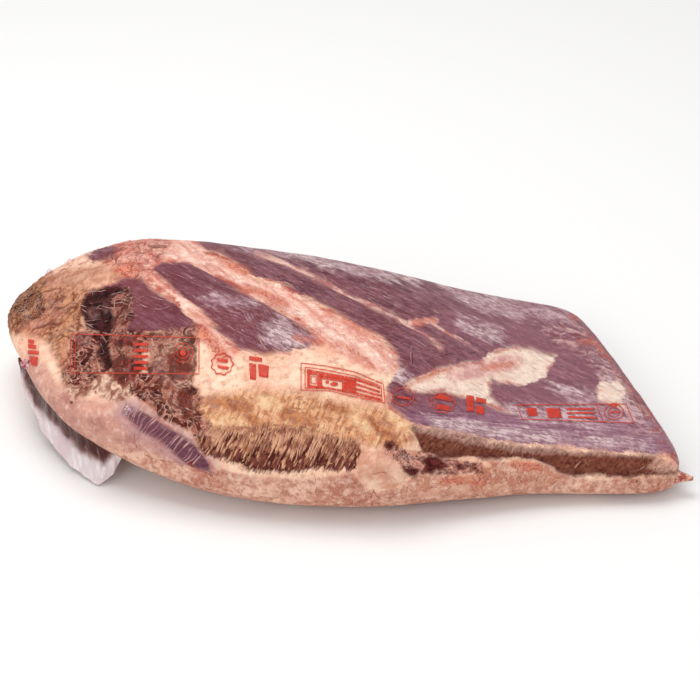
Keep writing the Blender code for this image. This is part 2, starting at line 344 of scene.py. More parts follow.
PALE_CRUST = {
    "left": ([(212, 419), (226, 424), (242, 425)], 5.0),
    "middle": ([(260, 400), (278, 404)], 6.0),
    "far": ([(350, 414), (368, 426)], 5.0),
    "right": ([(392, 412), (408, 426)], 5.0),
}
ORANGE = {
    "knot": ([(416, 321), (424, 320), (434, 319)], 2.2),
    "patch bridge": ([(486, 366), (500, 364), (514, 361)], 2.4),
    "near patch's edge": ([(408, 384), (422, 377), (438, 370), (452, 367)], 2.0),
    "band's end": ([(338, 342), (350, 347), (358, 352)], 3.0),
    "band's upper patches": ([(222, 258), (233, 264), (246, 270)], 3.6),
    "band's lower patches": ([(247, 285), (262, 291), (286, 303)], 4.2),
    "first seam's end": ([(200, 328), (212, 340), (222, 356)], 7.0),
    "on the knob": ([(118, 250), (126, 249), (133, 247)], 3.6),
    "beside the knob": ([(116, 268), (124, 266), (132, 268)], 4.6),
    "over the ledge": ([(514, 464), (524, 463), (536, 468)], 5.0),
    "above the ledge": ([(440, 482), (468, 482), (482, 486)], 3.6),
    "flat end's rim": ([(582, 340), (596, 342), (606, 352)], 2.6),
    "fat by the band": ([(296, 336), (310, 338), (322, 342)], 2.4),
}
RED_LINES = {
    "top edge fold": ([(36, 276), (52, 268), (80, 262), (104, 261), (128, 262)], 1.6),
    "flat end rim": (
        [(572, 312), (586, 324), (606, 351), (629, 379), (650, 404), (663, 429), (676, 456)], 2.2,
    ),
    "band's upper edge": ([(207, 250), (224, 254), (241, 267), (259, 277), (282, 282), (304, 295)], 1.3),
    "band's lower edge": ([(216, 273), (236, 283), (262, 297), (300, 318)], 1.1),
    "first seam": ([(146, 276), (168, 293), (186, 306)], 1.6),
    "flap edge": ([(371, 474), (384, 473), (395, 480)], 0.8),
}
SPOTS = {
    "by the pillow": ([(69, 402), (70, 402)], 1.4),
    "at the point": ([(41, 307), (42, 307)], 2.2),
    "on the cap": ([(637, 483), (638, 483)], 1.2),
}

# Threads and veins laid on the surface, in picture points.
PALE_THREADS = [
    [(176, 274), (190, 281), (206, 289)], [(196, 270), (222, 284), (250, 301)],
    [(236, 302), (248, 314), (258, 330)], [(256, 300), (275, 318), (300, 336)],
    [(262, 320), (278, 334), (288, 346)], [(212, 312), (232, 328), (250, 342)],
    [(446, 292), (470, 302), (498, 312)], [(416, 306), (432, 314)], [(437, 324), (456, 336), (478, 349)],
    [(420, 330), (432, 340), (446, 352)], [(425, 350), (436, 356), (444, 360)],
    [(476, 332), (492, 341), (502, 347)], [(520, 322), (548, 330), (566, 338)],
    [(556, 342), (574, 348), (590, 352)], [(566, 366), (584, 372), (596, 380)],
    [(540, 392), (552, 396), (566, 402)], [(534, 388), (546, 390)], [(480, 424), (520, 430), (560, 434)],
    [(560, 436), (600, 440), (640, 444)], [(600, 430), (630, 434), (650, 440)],
    [(300, 259), (330, 270), (352, 280)], [(270, 252), (300, 262)], [(340, 268), (370, 280), (396, 292)],
    [(360, 300), (386, 314), (404, 322)],
]
RED_VEINS = [
    [(98, 441), (110, 443), (122, 445), (137, 452), (146, 458), (166, 461), (186, 462)],
    [(138, 452), (134, 440), (136, 430)], [(120, 445), (114, 440), (104, 438)],
    [(52, 390), (62, 398), (70, 403)], [(186, 462), (196, 468), (204, 478)],
    [(196, 466), (214, 478), (224, 490)], [(313, 470), (317, 480), (316, 492), (320, 500)],
    [(240, 482), (252, 486), (270, 482)], [(52, 306), (60, 314), (72, 320), (80, 323)],
    [(66, 336), (64, 346), (60, 352)], [(371, 474), (384, 472), (396, 480)],
    [(400, 494), (404, 484), (410, 476)], [(436, 478), (450, 480), (462, 476)],
    [(470, 488), (480, 478), (496, 474)], [(206, 252), (222, 256), (232, 262)],
    [(262, 296), (280, 306), (290, 308)], [(284, 306), (304, 312)], [(590, 332), (604, 352), (618, 376)],
    [(628, 392), (642, 412), (654, 432)], [(150, 276), (160, 290), (176, 298)],
    [(500, 486), (520, 484), (536, 476)], [(548, 486), (560, 480)], [(596, 486), (610, 484)],
    [(660, 486), (672, 480)], [(100, 262), (120, 266), (132, 262)], [(40, 276), (60, 270), (84, 268)],
    [(132, 250), (144, 246), (150, 238)],
]
# Whitish creases of the film: partly its own haze, partly painted glints along the wrinkles.
FILM_CREASES = [
    [(136, 300), (143, 296), (154, 297), (166, 301), (178, 304)],
    [(136, 300), (140, 305), (150, 308), (162, 309), (178, 305)],
    [(142, 297), (152, 294), (164, 298), (172, 302)], [(139, 303), (150, 310), (160, 313), (164, 318)],
    [(140, 306), (146, 313), (156, 318)], [(108, 299), (118, 297), (128, 300)],
    [(109, 304), (119, 302), (129, 305)], [(108, 308), (120, 308), (130, 310)],
    [(110, 313), (120, 314), (128, 317)], [(112, 293), (122, 292), (130, 296)],
    [(84, 320), (92, 321), (102, 319)], [(84, 325), (94, 324), (104, 326)], [(76, 296), (82, 299), (88, 300)],
    [(91, 288), (92, 296)], [(96, 312), (100, 318)], [(72, 338), (80, 346), (90, 352)],
    [(136, 378), (144, 376), (156, 380)], [(133, 386), (136, 378), (146, 384)],
    [(150, 384), (160, 386), (168, 394)], [(160, 392), (170, 396), (180, 408)],
    [(148, 396), (158, 402), (170, 412)], [(170, 378), (176, 386), (184, 390)],
    [(190, 396), (198, 388), (204, 382)], [(192, 404), (200, 396), (206, 392)],
    [(521, 440), (523, 452), (521, 463)], [(526, 441), (528, 450), (524, 461)],
    [(531, 445), (534, 456), (532, 464)], [(540, 443), (560, 447), (584, 449)],
    [(596, 452), (624, 454), (656, 457)], [(480, 466), (490, 452), (500, 440)],
    [(566, 478), (575, 468), (582, 461)], [(618, 466), (626, 460)], [(640, 470), (650, 464), (660, 458)],
    [(648, 474), (660, 468), (672, 464)], [(430, 428), (470, 436), (512, 443)],
    [(356, 435), (372, 446), (397, 461)], [(398, 451), (410, 458), (424, 468)],
    [(404, 449), (416, 452), (424, 460)], [(656, 467), (666, 470), (678, 472)],
    [(660, 471), (670, 466), (677, 470)], [(84, 321), (95, 320), (106, 321)],
    [(112, 300), (121, 299), (131, 302)], [(110, 317), (119, 318), (127, 321)],
    [(530, 441), (536, 440), (542, 442)],
    [(547, 450), (558, 446), (569, 445), (590, 448), (620, 450), (658, 451)],
    [(576, 424), (582, 432), (584, 440)], [(412, 340), (411, 352), (411, 366)],
    [(150, 258), (166, 252), (184, 254)], [(36, 340), (32, 352), (30, 366)],
    [(24, 344), (28, 356), (34, 366)],
]
STREAKED = [
    (236, 244), (300, 246), (430, 276), (474, 292), (500, 306), (470, 318), (412, 320), (333, 282),
    (256, 250),
]
LOW_FAT = [
    (22, 378), (60, 420), (96, 448), (185, 468), (250, 482), (350, 480), (400, 494), (470, 482), (560, 478),
    (600, 484), (672, 482), (672, 494), (480, 502), (372, 512), (240, 500), (150, 474), (90, 450), (40, 410),
]
# Thin dark lines of painted shade in creases of the lean and fat.
DARK_CREASES = [
    [(413, 341), (412, 354), (412, 366)], [(446, 292), (464, 300), (472, 308)],
    [(446, 354), (462, 356), (484, 350)], [(540, 392), (546, 384), (550, 380)],
    [(424, 360), (444, 356), (456, 352)], [(404, 388), (410, 384), (418, 378)],
    [(398, 451), (411, 459), (424, 469)], [(403, 462), (412, 469), (418, 478)],
    [(446, 470), (462, 469), (480, 471)], [(412, 452), (424, 455), (440, 457)],
    [(396, 456), (404, 466), (410, 474)], [(538, 314), (540, 306), (544, 302)],
    [(596, 336), (606, 340), (616, 350)], [(634, 396), (642, 410), (652, 422)],
]

# Strands and stripes from one line down to another, a ruffle's line, and where short creases are strewn.
GRAIN_STRANDS = (
    [(214, 429), (262, 425), (312, 427), (364, 440)],
    [(198, 453), (243, 471), (296, 476), (348, 471)],
)
GRAIN_STUBS = (
    [(212, 426), (260, 421), (312, 424), (366, 437)],
    [(203, 440), (250, 450), (303, 452), (357, 454)],
)
STRIPES = (
    [(130, 401), (144, 406), (162, 418), (179, 430), (194, 441), (206, 456)],
    [(118, 417), (128, 428), (142, 440), (156, 451), (169, 461), (185, 472)],
)
RUFFLE_LINE = [(42, 277), (54, 271), (70, 262), (84, 257), (97, 253)]
CREASED = [(62, 340), (80, 290), (120, 284), (196, 330), (190, 346), (130, 350), (70, 350)]

# The regions by the names of their numbers on the meat: one outline each, several outlines, or several lines.
OUTLINES = {
    "striped": LEAN["striped"],
    "band": BAND,
    "crust": CRUST,
    "grain": GRAIN,
    "flap": FLAP,
    "split": SPLIT,
    "pillow": PILLOW,
    "mottled": MOTTLED,
    "rim": RIM,
    "cut_end": CUT_END,
    "tan": TAN,
    "pale_tan": PALE_TAN,
    "cream_lumps": CREAM_LUMPS,
    "soiled": SOILED,
    "knobbly": KNOBBLY,
    "blushed": BLUSHED,
}
OUTLINE_GROUPS = {
    "white_fat": FAT_ON_LEAN,
    "silver": SILVER,
    "dark": DARK,
    "grey_lumps": GREY_LUMPS,
    "browned": BROWNED,
    "maroon": MAROON,
}
LINE_GROUPS = {
    "seams": FAT_SEAMS,
    "cut_top": {"top": CUT_TOP},
    "cut_foot": {"foot": CUT_FOOT},
    "brown_crust": BROWN_CRUST,
    "pale_crust": PALE_CRUST,
    "orange": ORANGE,
    "red": RED_LINES,
    "spots": SPOTS,
}
REGION_NAMES = (*OUTLINES, *OUTLINE_GROUPS, *LINE_GROUPS, "lean", "cut", "cap", "grain_depth", "folds")

# Depths in metres that the regions stand out or sink, and how wide their shoulders are in picture points.
SHOULDERS = {
    "lean": (0.0008, 6.0),
    "cut": (-0.0012, 2.0),
    "grey_lumps": (0.0020, 2.5),
    "orange": (0.0005, 3.0),
    "grain": (-0.0010, 4.0),
    "dark": (-0.0022, 5.0),
    "flap": (0.0012, 3.0),
    "striped": (-0.0004, 3.0),
}
MEAT_DEPTH = 0.0018
BOX_MARGIN = 0.0009
FILM_MARGIN = 0.0005
FILM_GAP = 0.0004
FILM_RISE = 0.0006

ROWS = 328
COLUMNS = 300
POINT_END_SHARE = 1.5
UNDERSIDE_SHARE = 0.22
END_ROWS = 12

# Where the flat end's face starts along a slanted length, and how much sooner its lean ends than the back's.
END_FACE_SLANT = 0.28
END_FACE_START = 0.190
END_FACE_BLEND = 0.010
END_FACE_HASTE = 1.2

# The hidden sides in picture points: how far the lean and the cut side run down the back, how the cut side
# starts by the point end, and how much the outlines waver beyond the view's edge.
BACK_LEAN = 52
BACK_CUT = 84
BACK_CUT_START = 175
BACK_CUT_SLANT = 0.12
BACK_DRIFT = 16
BACK_DRIFT_REACH = 24

# The loose film under the point end: its free hem, and how it hangs between the meat's edge and there.
TAIL_ANGLES = (-88, -47)
TAIL_HEM = [
    (-0.2300, 0.006, 0.042), (-0.2270, -0.008, 0.034), (-0.2225, -0.019, 0.025), (-0.2145, -0.032, 0.016),
    (-0.2050, -0.048, 0.010), (-0.1940, -0.063, 0.006), (-0.1810, -0.078, 0.003), (-0.1695, -0.0885, 0.0015),
    (-0.1620, -0.087, 0.005), (-0.1535, -0.0835, 0.0135),
]
TAIL_SAG = 0.003
# Where painted shade of the meat's underside and painted shadow on the floor lie dark on the loose film, by the
# meat's edge.
TAIL_PAINTED_SHADE = [
    (4, 340), (20, 372), (25, 388), (37, 411), (61, 433), (81, 453), (104, 466), (130, 440), (60, 340),
]
TAIL_ROOT_DEPTH = 0.003
TAIL_RIPPLE = 0.0016
TAIL_FRILL = 0.0008
TAIL_MARGIN = 0.0004
LOOSE_FILM = 0.0002

# The twisted film tip at the flat end's front corner.
TIP_BASE = (0.2124, -0.0891, 0.013)
TIP_END = (0.2348, -0.0946, 0.0135)
TIP_RADIUS = 0.011
TIP_END_RADIUS = 0.0016
TIP_FLATNESS = 0.55
TIP_PLEATS = 7
TIP_PLEAT_DEPTH = 0.13
TIP_TWIST = 2.5

# The ruffle of film along the point end's far edge, and the knot of film at its corner.
RUFFLE_HEIGHT = 0.0042
RUFFLE_LEAN = 0.0022
RUFFLE_DEPTH = 0.0006
RUFFLE_THICKNESS = 0.0003
KNOT_PLACE = (27.0, 364.0)
KNOT_RADIUS = 0.0042
KNOT_LIFT = 0.0002
KNOT_STRETCH = (1.0, 0.8, 0.9)
KNOT_MARGIN = 0.0003

# Printing on the film in picture points: outlined frames, solid bars by their corners, rings by centre and
# radii. The ink's lift and thickness are in metres.
FRAME_HALF_WIDTH = 0.4
INK_LIFT = 0.00018
INK_THICKNESS = 0.00006
FRAMES = [
    [(71, 334), (70, 352), (71, 373), (199, 374), (199, 338), (71, 334)],
    [(76, 338), (75, 370)],
    [
        (301, 363), (326, 366), (355, 372), (383, 384), (385, 403), (355, 397), (330, 391), (301, 390),
        (301, 363),
    ],
    [
        (305, 367), (326, 370), (355, 376), (381, 386), (382, 401), (355, 395), (330, 389), (305, 388),
        (305, 367),
    ],
    [(311, 376), (316, 377), (316, 384), (311, 383), (311, 376)],
    [(517, 405), (522, 419), (634, 423), (626, 404), (517, 405)],
    [(596, 405), (604, 423)],
]
BARS = [
    [(28, 339), (34, 340), (34, 344), (28, 343)], [(28, 344), (36, 345), (36, 349), (28, 348)],
    [(28, 350), (39, 351), (39, 355), (28, 354)], [(29, 356), (38, 357), (37, 366), (31, 365)],
    [(134, 343), (148, 343), (148, 346), (134, 346)], [(134, 349), (148, 349), (148, 352), (134, 352)],
    [(134, 355), (148, 355), (148, 358), (134, 358)], [(134, 361), (148, 361), (148, 364), (134, 364)],
    [(134, 367), (148, 367), (148, 370), (134, 370)], [(249, 356), (262, 358), (262, 362), (249, 360)],
    [(249, 363), (256, 364), (256, 380), (250, 379)], [(258, 364), (269, 366), (268, 378), (259, 376)],
    [(307, 369), (356, 378), (356, 382), (307, 374)], [(307, 374), (310, 374.5), (310, 387.6), (307, 387)],
    [(317, 375.6), (322, 376.5), (322, 388.5), (317, 388)],
    [(322, 376.5), (343, 380), (343, 382), (322, 379)], [(322, 386), (343, 390), (343, 391.6), (322, 388.3)],
    [(342, 380), (356, 382), (356, 394), (342, 391.3)], [(310, 385), (317, 386), (317, 388), (310, 387.4)],
    [(356, 378), (380, 386.6), (380, 388.8), (356, 380.4)],
    [(356, 383), (380, 391), (380, 392.8), (356, 385)],
    [(356, 387.8), (381, 395), (381, 396.8), (356, 389.8)],
    [(356, 392), (381, 398.6), (381, 400.4), (356, 394)], [(466, 395), (474, 396), (474, 412), (467, 411)],
    [(476, 397), (486, 399), (486, 404), (476, 402)], [(476, 405), (484, 407), (484, 415), (476, 413)],
    [(526, 408), (536, 408), (538, 416), (528, 416)], [(546, 408), (560, 408), (562, 418), (548, 418)],
    [(566, 408), (594, 408), (594, 410), (566, 410)], [(567, 412), (595, 412), (596, 414), (567, 414)],
    [(568, 416), (597, 417), (598, 419), (568, 418)],
    [(434, 398), (440, 394), (450, 397), (452, 402)],
    [(436, 404), (450, 406), (449, 411), (437, 409)], [(217, 358), (228, 360), (227, 363), (217, 361)],
    [(217, 365), (229, 367), (228, 370), (218, 368)], [(397, 396), (411, 398), (411, 400), (397, 398)],
    [(610, 411), (620, 411), (620, 413), (610, 413)],
]
RINGS = [
    (183, 353, 10, 10, 0.8, 0), (183, 353, 6, 6, 0.8, 0), (222, 364, 11, 11, 1.2, 9),
    (403, 397, 11, 9, 0.9, 0), (443, 403, 12, 10, 1.1, 9), (614, 412, 10, 8, 0.9, 0),
    (614, 412, 6, 5, 0.8, 0),
]
SOLID_DISCS = [
    (334, 384, 4, 1.8), (327, 382, 2, 1.4), (614, 405, 3, 2.2), (183, 353, 3, 3), (532, 412, 3.4, 3),
]


def smooth_curve(points, place):
    """Value at each place of the cubic curve through (place, value) points, with slopes from neighbours."""
    places, values = np.array(points, float).T
    slopes = np.gradient(values, places)
    place = np.clip(place, places[0], places[-1])
    left = np.clip(np.searchsorted(places, place) - 1, 0, len(places) - 2)
    gap = places[left + 1] - places[left]
    t = (place - places[left]) / gap
    from_left = (2 * t**3 - 3 * t**2 + 1) * values[left] + (t**3 - 2 * t**2 + t) * gap * slopes[left]
    from_right = (3 * t**2 - 2 * t**3) * values[left + 1] + (t**3 - t**2) * gap * slopes[left + 1]
    return from_left + from_right


def ease(t):
    """3 t squared less 2 t cubed: 0 to 1 with level ends."""
    t = np.clip(t, 0, 1)
    return t * t * (3 - 2 * t)


def squared_circle(angle, squareness):
    """Cosine and sine of the angle, pushed out to the superellipse of that power."""
    cosine, sine = np.cos(angle), np.sin(angle)
    reach = (np.abs(cosine) ** squareness + np.abs(sine) ** squareness) ** (-1 / squareness)
    return cosine * reach, sine * reach


def closing(along, squareness):
    """1 in the middle of the length and 0 at the ends: (1 - |along|^n)^(1/n)."""
    return np.clip(1 - np.abs(along) ** squareness, 0, 1) ** (1 / squareness)


def body_form(along, turn):
    """Section at each place along the length: a superellipse skewed by the end slant, its top and edges
    from the curves."""
    top_power, base_power = smooth_curve(TOP_SQUARENESS, along), smooth_curve(BASE_SQUARENESS, along)
    squareness = np.where(np.sin(turn) > 0, top_power, base_power)
    cosine, up = squared_circle(turn, squareness)
    back = -cosine
    share = (back + 1) / 2
    point_corner, flat_corner = (low + (high - low) * share for low, high in (POINT_CORNERS, FLAT_CORNERS))
    width = closing(along, np.where(along < 0, point_corner, flat_corner))
    thickness = closing(along, np.where(along < 0, POINT_THICKNESS, FLAT_THICKNESS))
    front_edge, back_edge = smooth_curve(FRONT_EDGE, along), smooth_curve(BACK_EDGE, along)
    y = (front_edge + back_edge) / 2 + back * (back_edge - front_edge) / 2 * width
    x = along * np.where(along < 0, POINT_REACH, FLAT_REACH) - smooth_curve(END_SLANT, along) * y
    low, crown, high = (smooth_curve(c, along) for c in (FRONT_HEIGHT, CROWN_HEIGHT, BACK_HEIGHT))
    across = back * width
    top = crown + (high - low) / 2 * across + ((high + low) / 2 - crown) * across**2
    base = BASE_LIFT * np.clip((BASE_LIFT_START - along) / (1 + BASE_LIFT_START), 0, 1) ** BASE_LIFT_POWER
    z = (top + base) / 2 + up * (top - base) / 2 * thickness - SETTLED
    return np.stack([x, y, np.maximum(z, 0)], -1)


def relief_height(table, first, second):
    """Sum of Gaussian pads and dents at two coordinates."""
    height = np.zeros_like(first)
    for place_1, place_2, reach, reach_across, turn, rise in table.values():
        cosine, sine = math.cos(math.radians(turn)), math.sin(math.radians(turn))
        along = (first - place_1) * cosine + (second - place_2) * sine
        across = (second - place_2) * cosine - (first - place_1) * sine
        height += rise * np.exp(-((along / reach) ** 2) - (across / reach_across) ** 2)
    return height


def even_steps(points, count, weights=None):
    """Fractions of a line's own parameter at which its weighted length is cut into equal steps."""
    steps = np.linalg.norm(np.diff(points, axis=0), axis=1)
    if weights is not None:
        steps = steps * weights[1:]
    length = np.concatenate([[0], np.cumsum(steps)])
    return np.interp(np.linspace(0, length[-1], count), length, np.linspace(0, 1, len(points)))


def grid_normals(grid):
    """Unit cross products of the differences along and round a grid that is closed round its second axis."""
    along = np.gradient(grid, axis=0)
    around = np.roll(grid, -1, axis=1) - np.roll(grid, 1, axis=1)
    normal = np.cross(along, around)
    return normal / np.maximum(np.linalg.norm(normal, axis=-1, keepdims=True), 1e-12)


def lattice_noise(points, scale, seed):
    """Random values on the corners of a cubic lattice, eased between them: -1 to 1."""
    values = np.random.default_rng(seed).uniform(-1, 1, 4096)
    place = points * scale
    cell = np.floor(place).astype(np.int64)
    share = ease(place - cell)
    total = np.zeros(points.shape[:-1])
    for corner in itertools.product((0, 1), repeat=3):
        at = cell + corner
        key = (at[..., 0] * 73856093) ^ (at[..., 1] * 19349663) ^ (at[..., 2] * 83492791)
        total += np.prod(np.where(corner, share, 1 - share), axis=-1) * values[key % 4096]
    return total


def noise_over(seed, across, down=0):
    """Noise over one or two numbers, on a lattice with unit cells."""
    across = np.asarray(across, float)
    return lattice_noise(np.stack([across, across * 0 + down, across * 0], -1), 1.0, seed)


def picture_place(points):
    """Where points fall in the photo's view, in picture points."""
    offset = points - VIEW_PLACE
    depth = offset @ VIEW_AHEAD
    half = PICTURE / 2
    across = half + half * (offset @ VIEW_RIGHT) / depth / VIEW_SLOPE
    down = half - half * (offset @ VIEW_UP) / depth / VIEW_SLOPE
    return np.stack([across, down], -1)


def wrapped_place(points, normals):
    """Picture places that go on past the edge of the view: a hidden point lies as far outside its nearest
    edge point in the picture as it lies from it over the surface. The last rows, round the pole of the flat end,
    are hidden. Also returns that distance, in metres."""
    seen = np.einsum("...i,...i", normals, VIEW_PLACE - points) > 0
    seen[-END_ROWS:] = False
    edge = seen & ~(np.roll(seen, 1, 1) & np.roll(seen, -1, 1) & np.roll(seen, 1, 0) & np.roll(seen, -1, 0))
    edge[[0, -1]] = False
    place = picture_place(points)
    edge_points, edge_place = points[edge], place[edge]
    outward = np.stack([normals[edge] @ VIEW_RIGHT, -(normals[edge] @ VIEW_UP)], -1)
    outward /= np.linalg.norm(outward, axis=-1, keepdims=True)
    hidden = np.argwhere(~seen)
    past = np.zeros(seen.shape)
    for part in np.array_split(hidden, max(1, len(hidden) // 2000)):
        rows, columns = part.T
        apart = np.linalg.norm(points[rows, columns][:, None] - edge_points[None], axis=-1)
        nearest = apart.argmin(axis=1)
        gap = apart[np.arange(len(part)), nearest]
        place[rows, columns] = edge_place[nearest] + outward[nearest] * (gap / POINT_SIZE)[:, None]
        past[rows, columns] = gap
    return place, past


def inside(outline, place):
    """Distance from an outline in picture points, positive inside and negative outside."""
    corners = np.array(outline, float)
    best = np.full(place.shape[:-1], 1e9)
    within = np.zeros(place.shape[:-1], bool)
    for start, end in zip(corners, np.roll(corners, -1, 0)):
        edge = end - start
        share = np.clip((place - start) @ edge / (edge @ edge), 0, 1)
        best = np.minimum(best, np.linalg.norm(place - start - share[..., None] * edge, axis=-1))
        crossing = (start[1] > place[..., 1]) != (end[1] > place[..., 1])
        slope = edge[0] / edge[1] if edge[1] else 0
        within ^= crossing & (place[..., 0] < start[0] + (place[..., 1] - start[1]) * slope)
    return np.where(within, best, -best)


def near_line(line, half_width, place):
    """Half width less the distance from an open line, in picture points: positive on the line."""
    corners = np.array(line, float)
    best = np.full(place.shape[:-1], 1e9)
    for start, end in zip(corners, corners[1:]):
        edge = end - start
        share = np.clip((place - start) @ edge / (edge @ edge), 0, 1)
        best = np.minimum(best, np.linalg.norm(place - start - share[..., None] * edge, axis=-1))
    return half_width - best


def most_inside(outlines, place):
    """Greatest of several outlines' distances."""
    return np.max([inside(outline, place) for outline in outlines.values()], axis=0)


def most_on_line(lines, place):
    """Greatest of several lines' distances."""
    return np.max([near_line(line, width, place) for line, width in lines.values()], axis=0)


def region_fields(place, past, points):
    """Every region's distance at every vertex, in picture points. The lean of the back and of the flat end's
    face ends in a cut side, then the cap."""
    beyond = past / POINT_SIZE
    at_end = ease((points[..., 0] + END_FACE_SLANT * points[..., 1] - END_FACE_START) / END_FACE_BLEND)
    below_rim = beyond * (1 + END_FACE_HASTE * at_end)
    wander = 9 * lattice_noise(points, 28, 5) + 4 * lattice_noise(points, 75, 6)
    drift = np.stack([lattice_noise(points, scale, seed) for scale, seed in ((24, 7), (26, 8))], -1)
    place = place + BACK_DRIFT * ease(beyond / BACK_DRIFT_REACH)[..., None] * drift

    fields = {name: inside(outline, place) for name, outline in OUTLINES.items()}
    fields |= {name: most_inside(outlines, place) for name, outlines in OUTLINE_GROUPS.items()}
    fields |= {name: most_on_line(lines, place) for name, lines in LINE_GROUPS.items()}
    fat = np.maximum(fields["white_fat"], fields["seams"])
    back_lean = BACK_LEAN + wander - below_rim
    fields["lean"] = np.minimum(np.minimum(most_inside(LEAN, place), back_lean), -fat)
    fields["cap"] = np.maximum(inside(CAP_TOP, place), below_rim - BACK_CUT - wander)

    near_cut = inside(CUT_SIDE, place)
    cut = np.maximum(near_cut, np.minimum(below_rim - BACK_LEAN - wander, BACK_CUT + wander - below_rim))
    start = BACK_CUT_SLANT * (place[..., 0] - BACK_CUT_START - beyond) + wander * 0.6
    cut = np.where(near_cut < -20, np.minimum(cut, start), cut)
    fields["cut"] = cut + 3.0 * lattice_noise(points, 105, 17) + 1.6 * lattice_noise(points, 250, 18)

    foot = np.interp(place[..., 0], *GRAIN_FOOT)
    fields["grain_depth"] = (place[..., 1] - GRAIN_TOP) / (foot - GRAIN_TOP)
    return fields


def base_grid():
    """The solid's form as a fine grid, rows along the length and columns round it, with its relief."""
    coarse = np.radians(np.linspace(-89.9, 89.9, 1600))
    _, along = squared_circle(coarse, np.where(coarse < 0, *RING_SPACING))
    crest = body_form(along, np.full(len(along), np.pi / 2))
    density = 1 + (POINT_END_SHARE - 1) * ease((-0.05 - crest[:, 0]) / 0.06)
    latitude = np.interp(even_steps(crest, ROWS, density), np.linspace(0, 1, len(coarse)), coarse)
    _, along = squared_circle(latitude, np.where(latitude < 0, *RING_SPACING))
    circle = np.linspace(-np.pi / 2, 3 * np.pi / 2, 1600)
    ring = body_form(np.zeros(len(circle)), circle)
    density = np.where(ring[:, 2] < MM, UNDERSIDE_SHARE, 1.0)
    turn = np.interp(even_steps(ring, COLUMNS + 1, density), np.linspace(0, 1, len(circle)), circle)[:-1]
    grid = body_form(*np.meshgrid(along, turn, indexing="ij"))
    normals = grid_normals(grid)
    if (normals[ROWS // 2] * (grid[ROWS // 2] - grid[ROWS // 2].mean(axis=0))).sum() < 0:
        normals = -normals
    upward = ease(normals[..., 2] / SOFT_EDGE)
    forward = ease(-normals[..., 1] / SOFT_EDGE)
    height = upward * relief_height(TOP_RELIEF, grid[..., 0], grid[..., 1])
    height += forward * relief_height(FRONT_RELIEF, grid[..., 0], grid[..., 2])
    return grid + normals * height[..., None] + FORM_PLACE, normals


def fold_lines(points):
    """Winding creases between soft folds of fat, 1 on the crease: exp(-(noise / width)^2), warped."""
    warp = np.stack([lattice_noise(points, 90, seed) for seed in (31, 32, 33)], -1) * 0.006
    broad = lattice_noise(points + warp, 95, 34)
    narrow = lattice_noise(points + warp, 210, 35)
    return np.maximum(np.exp(-((broad / 0.13) ** 2)), 0.7 * np.exp(-((narrow / 0.14) ** 2)))


def meat_relief(points, place, fields, folds):
    """How far the meat stands from the solid: each region's shoulder, 1 - exp(-inside / width), and lumps."""
    height = np.full(points.shape[:-1], -MEAT_DEPTH)
    for name, (rise, width) in SHOULDERS.items():
        height += rise * (1 - np.exp(-np.maximum(fields[name], 0) / width))
    lumps = 0.6 * lattice_noise(points, 60, 11) + 0.4 * lattice_noise(points, 140, 12)
    fine = 0.6 * lattice_noise(points, 260, 13) + 0.4 * lattice_noise(points, 420, 14)
    folded = folded_share(fields)
    on_lean = ease(fields["lean"] / 4 + 0.5)
    height += MM * (0.4 * lumps * (1 + 1.4 * folded) + 0.18 * fine * (1 - 0.5 * on_lean) * (1 + 1.4 * folded))
    height -= MM * 1.1 * folds * folded
    height += MM * 0.5 * lattice_noise(points, 170, 16) * ease(fields["crust"] / 8 + 0.4)
    flat_place = np.concatenate([place, np.zeros(place.shape[:-1] + (1,))], -1)
    slant = np.array(((0.94, 0.03, 0), (0.34, 0.08, 0), (0, 0, 1)))
    strands = lattice_noise(flat_place @ slant, 0.5, 15)
    height += MM * 0.5 * strands * ease(fields["grain"] / 5 + 0.5)
    return height


def folded_share(fields):
    """Where the surface is creased and lumpy: 1 well inside the point end's uneven regions."""
    uneven = np.maximum.reduce([fields[name] for name in ("tan", "browned", "knobbly", "maroon")])
    return ease(uneven / 8 + 0.4)


def film_wrinkles(points, fields):
    """Ridges of the tight film, 1 - |noise| sharpened, deepest over the uneven point end."""
    long_ridges = (1 - np.abs(lattice_noise(points, (70, 40, 70), 21))) ** 6
    cross_ridges = (1 - np.abs(lattice_noise(points, (40, 90, 60), 22))) ** 8
    return FILM_RISE * np.clip(long_ridges + cross_ridges, 0, 1) * (0.3 + 0.7 * folded_share(fields))


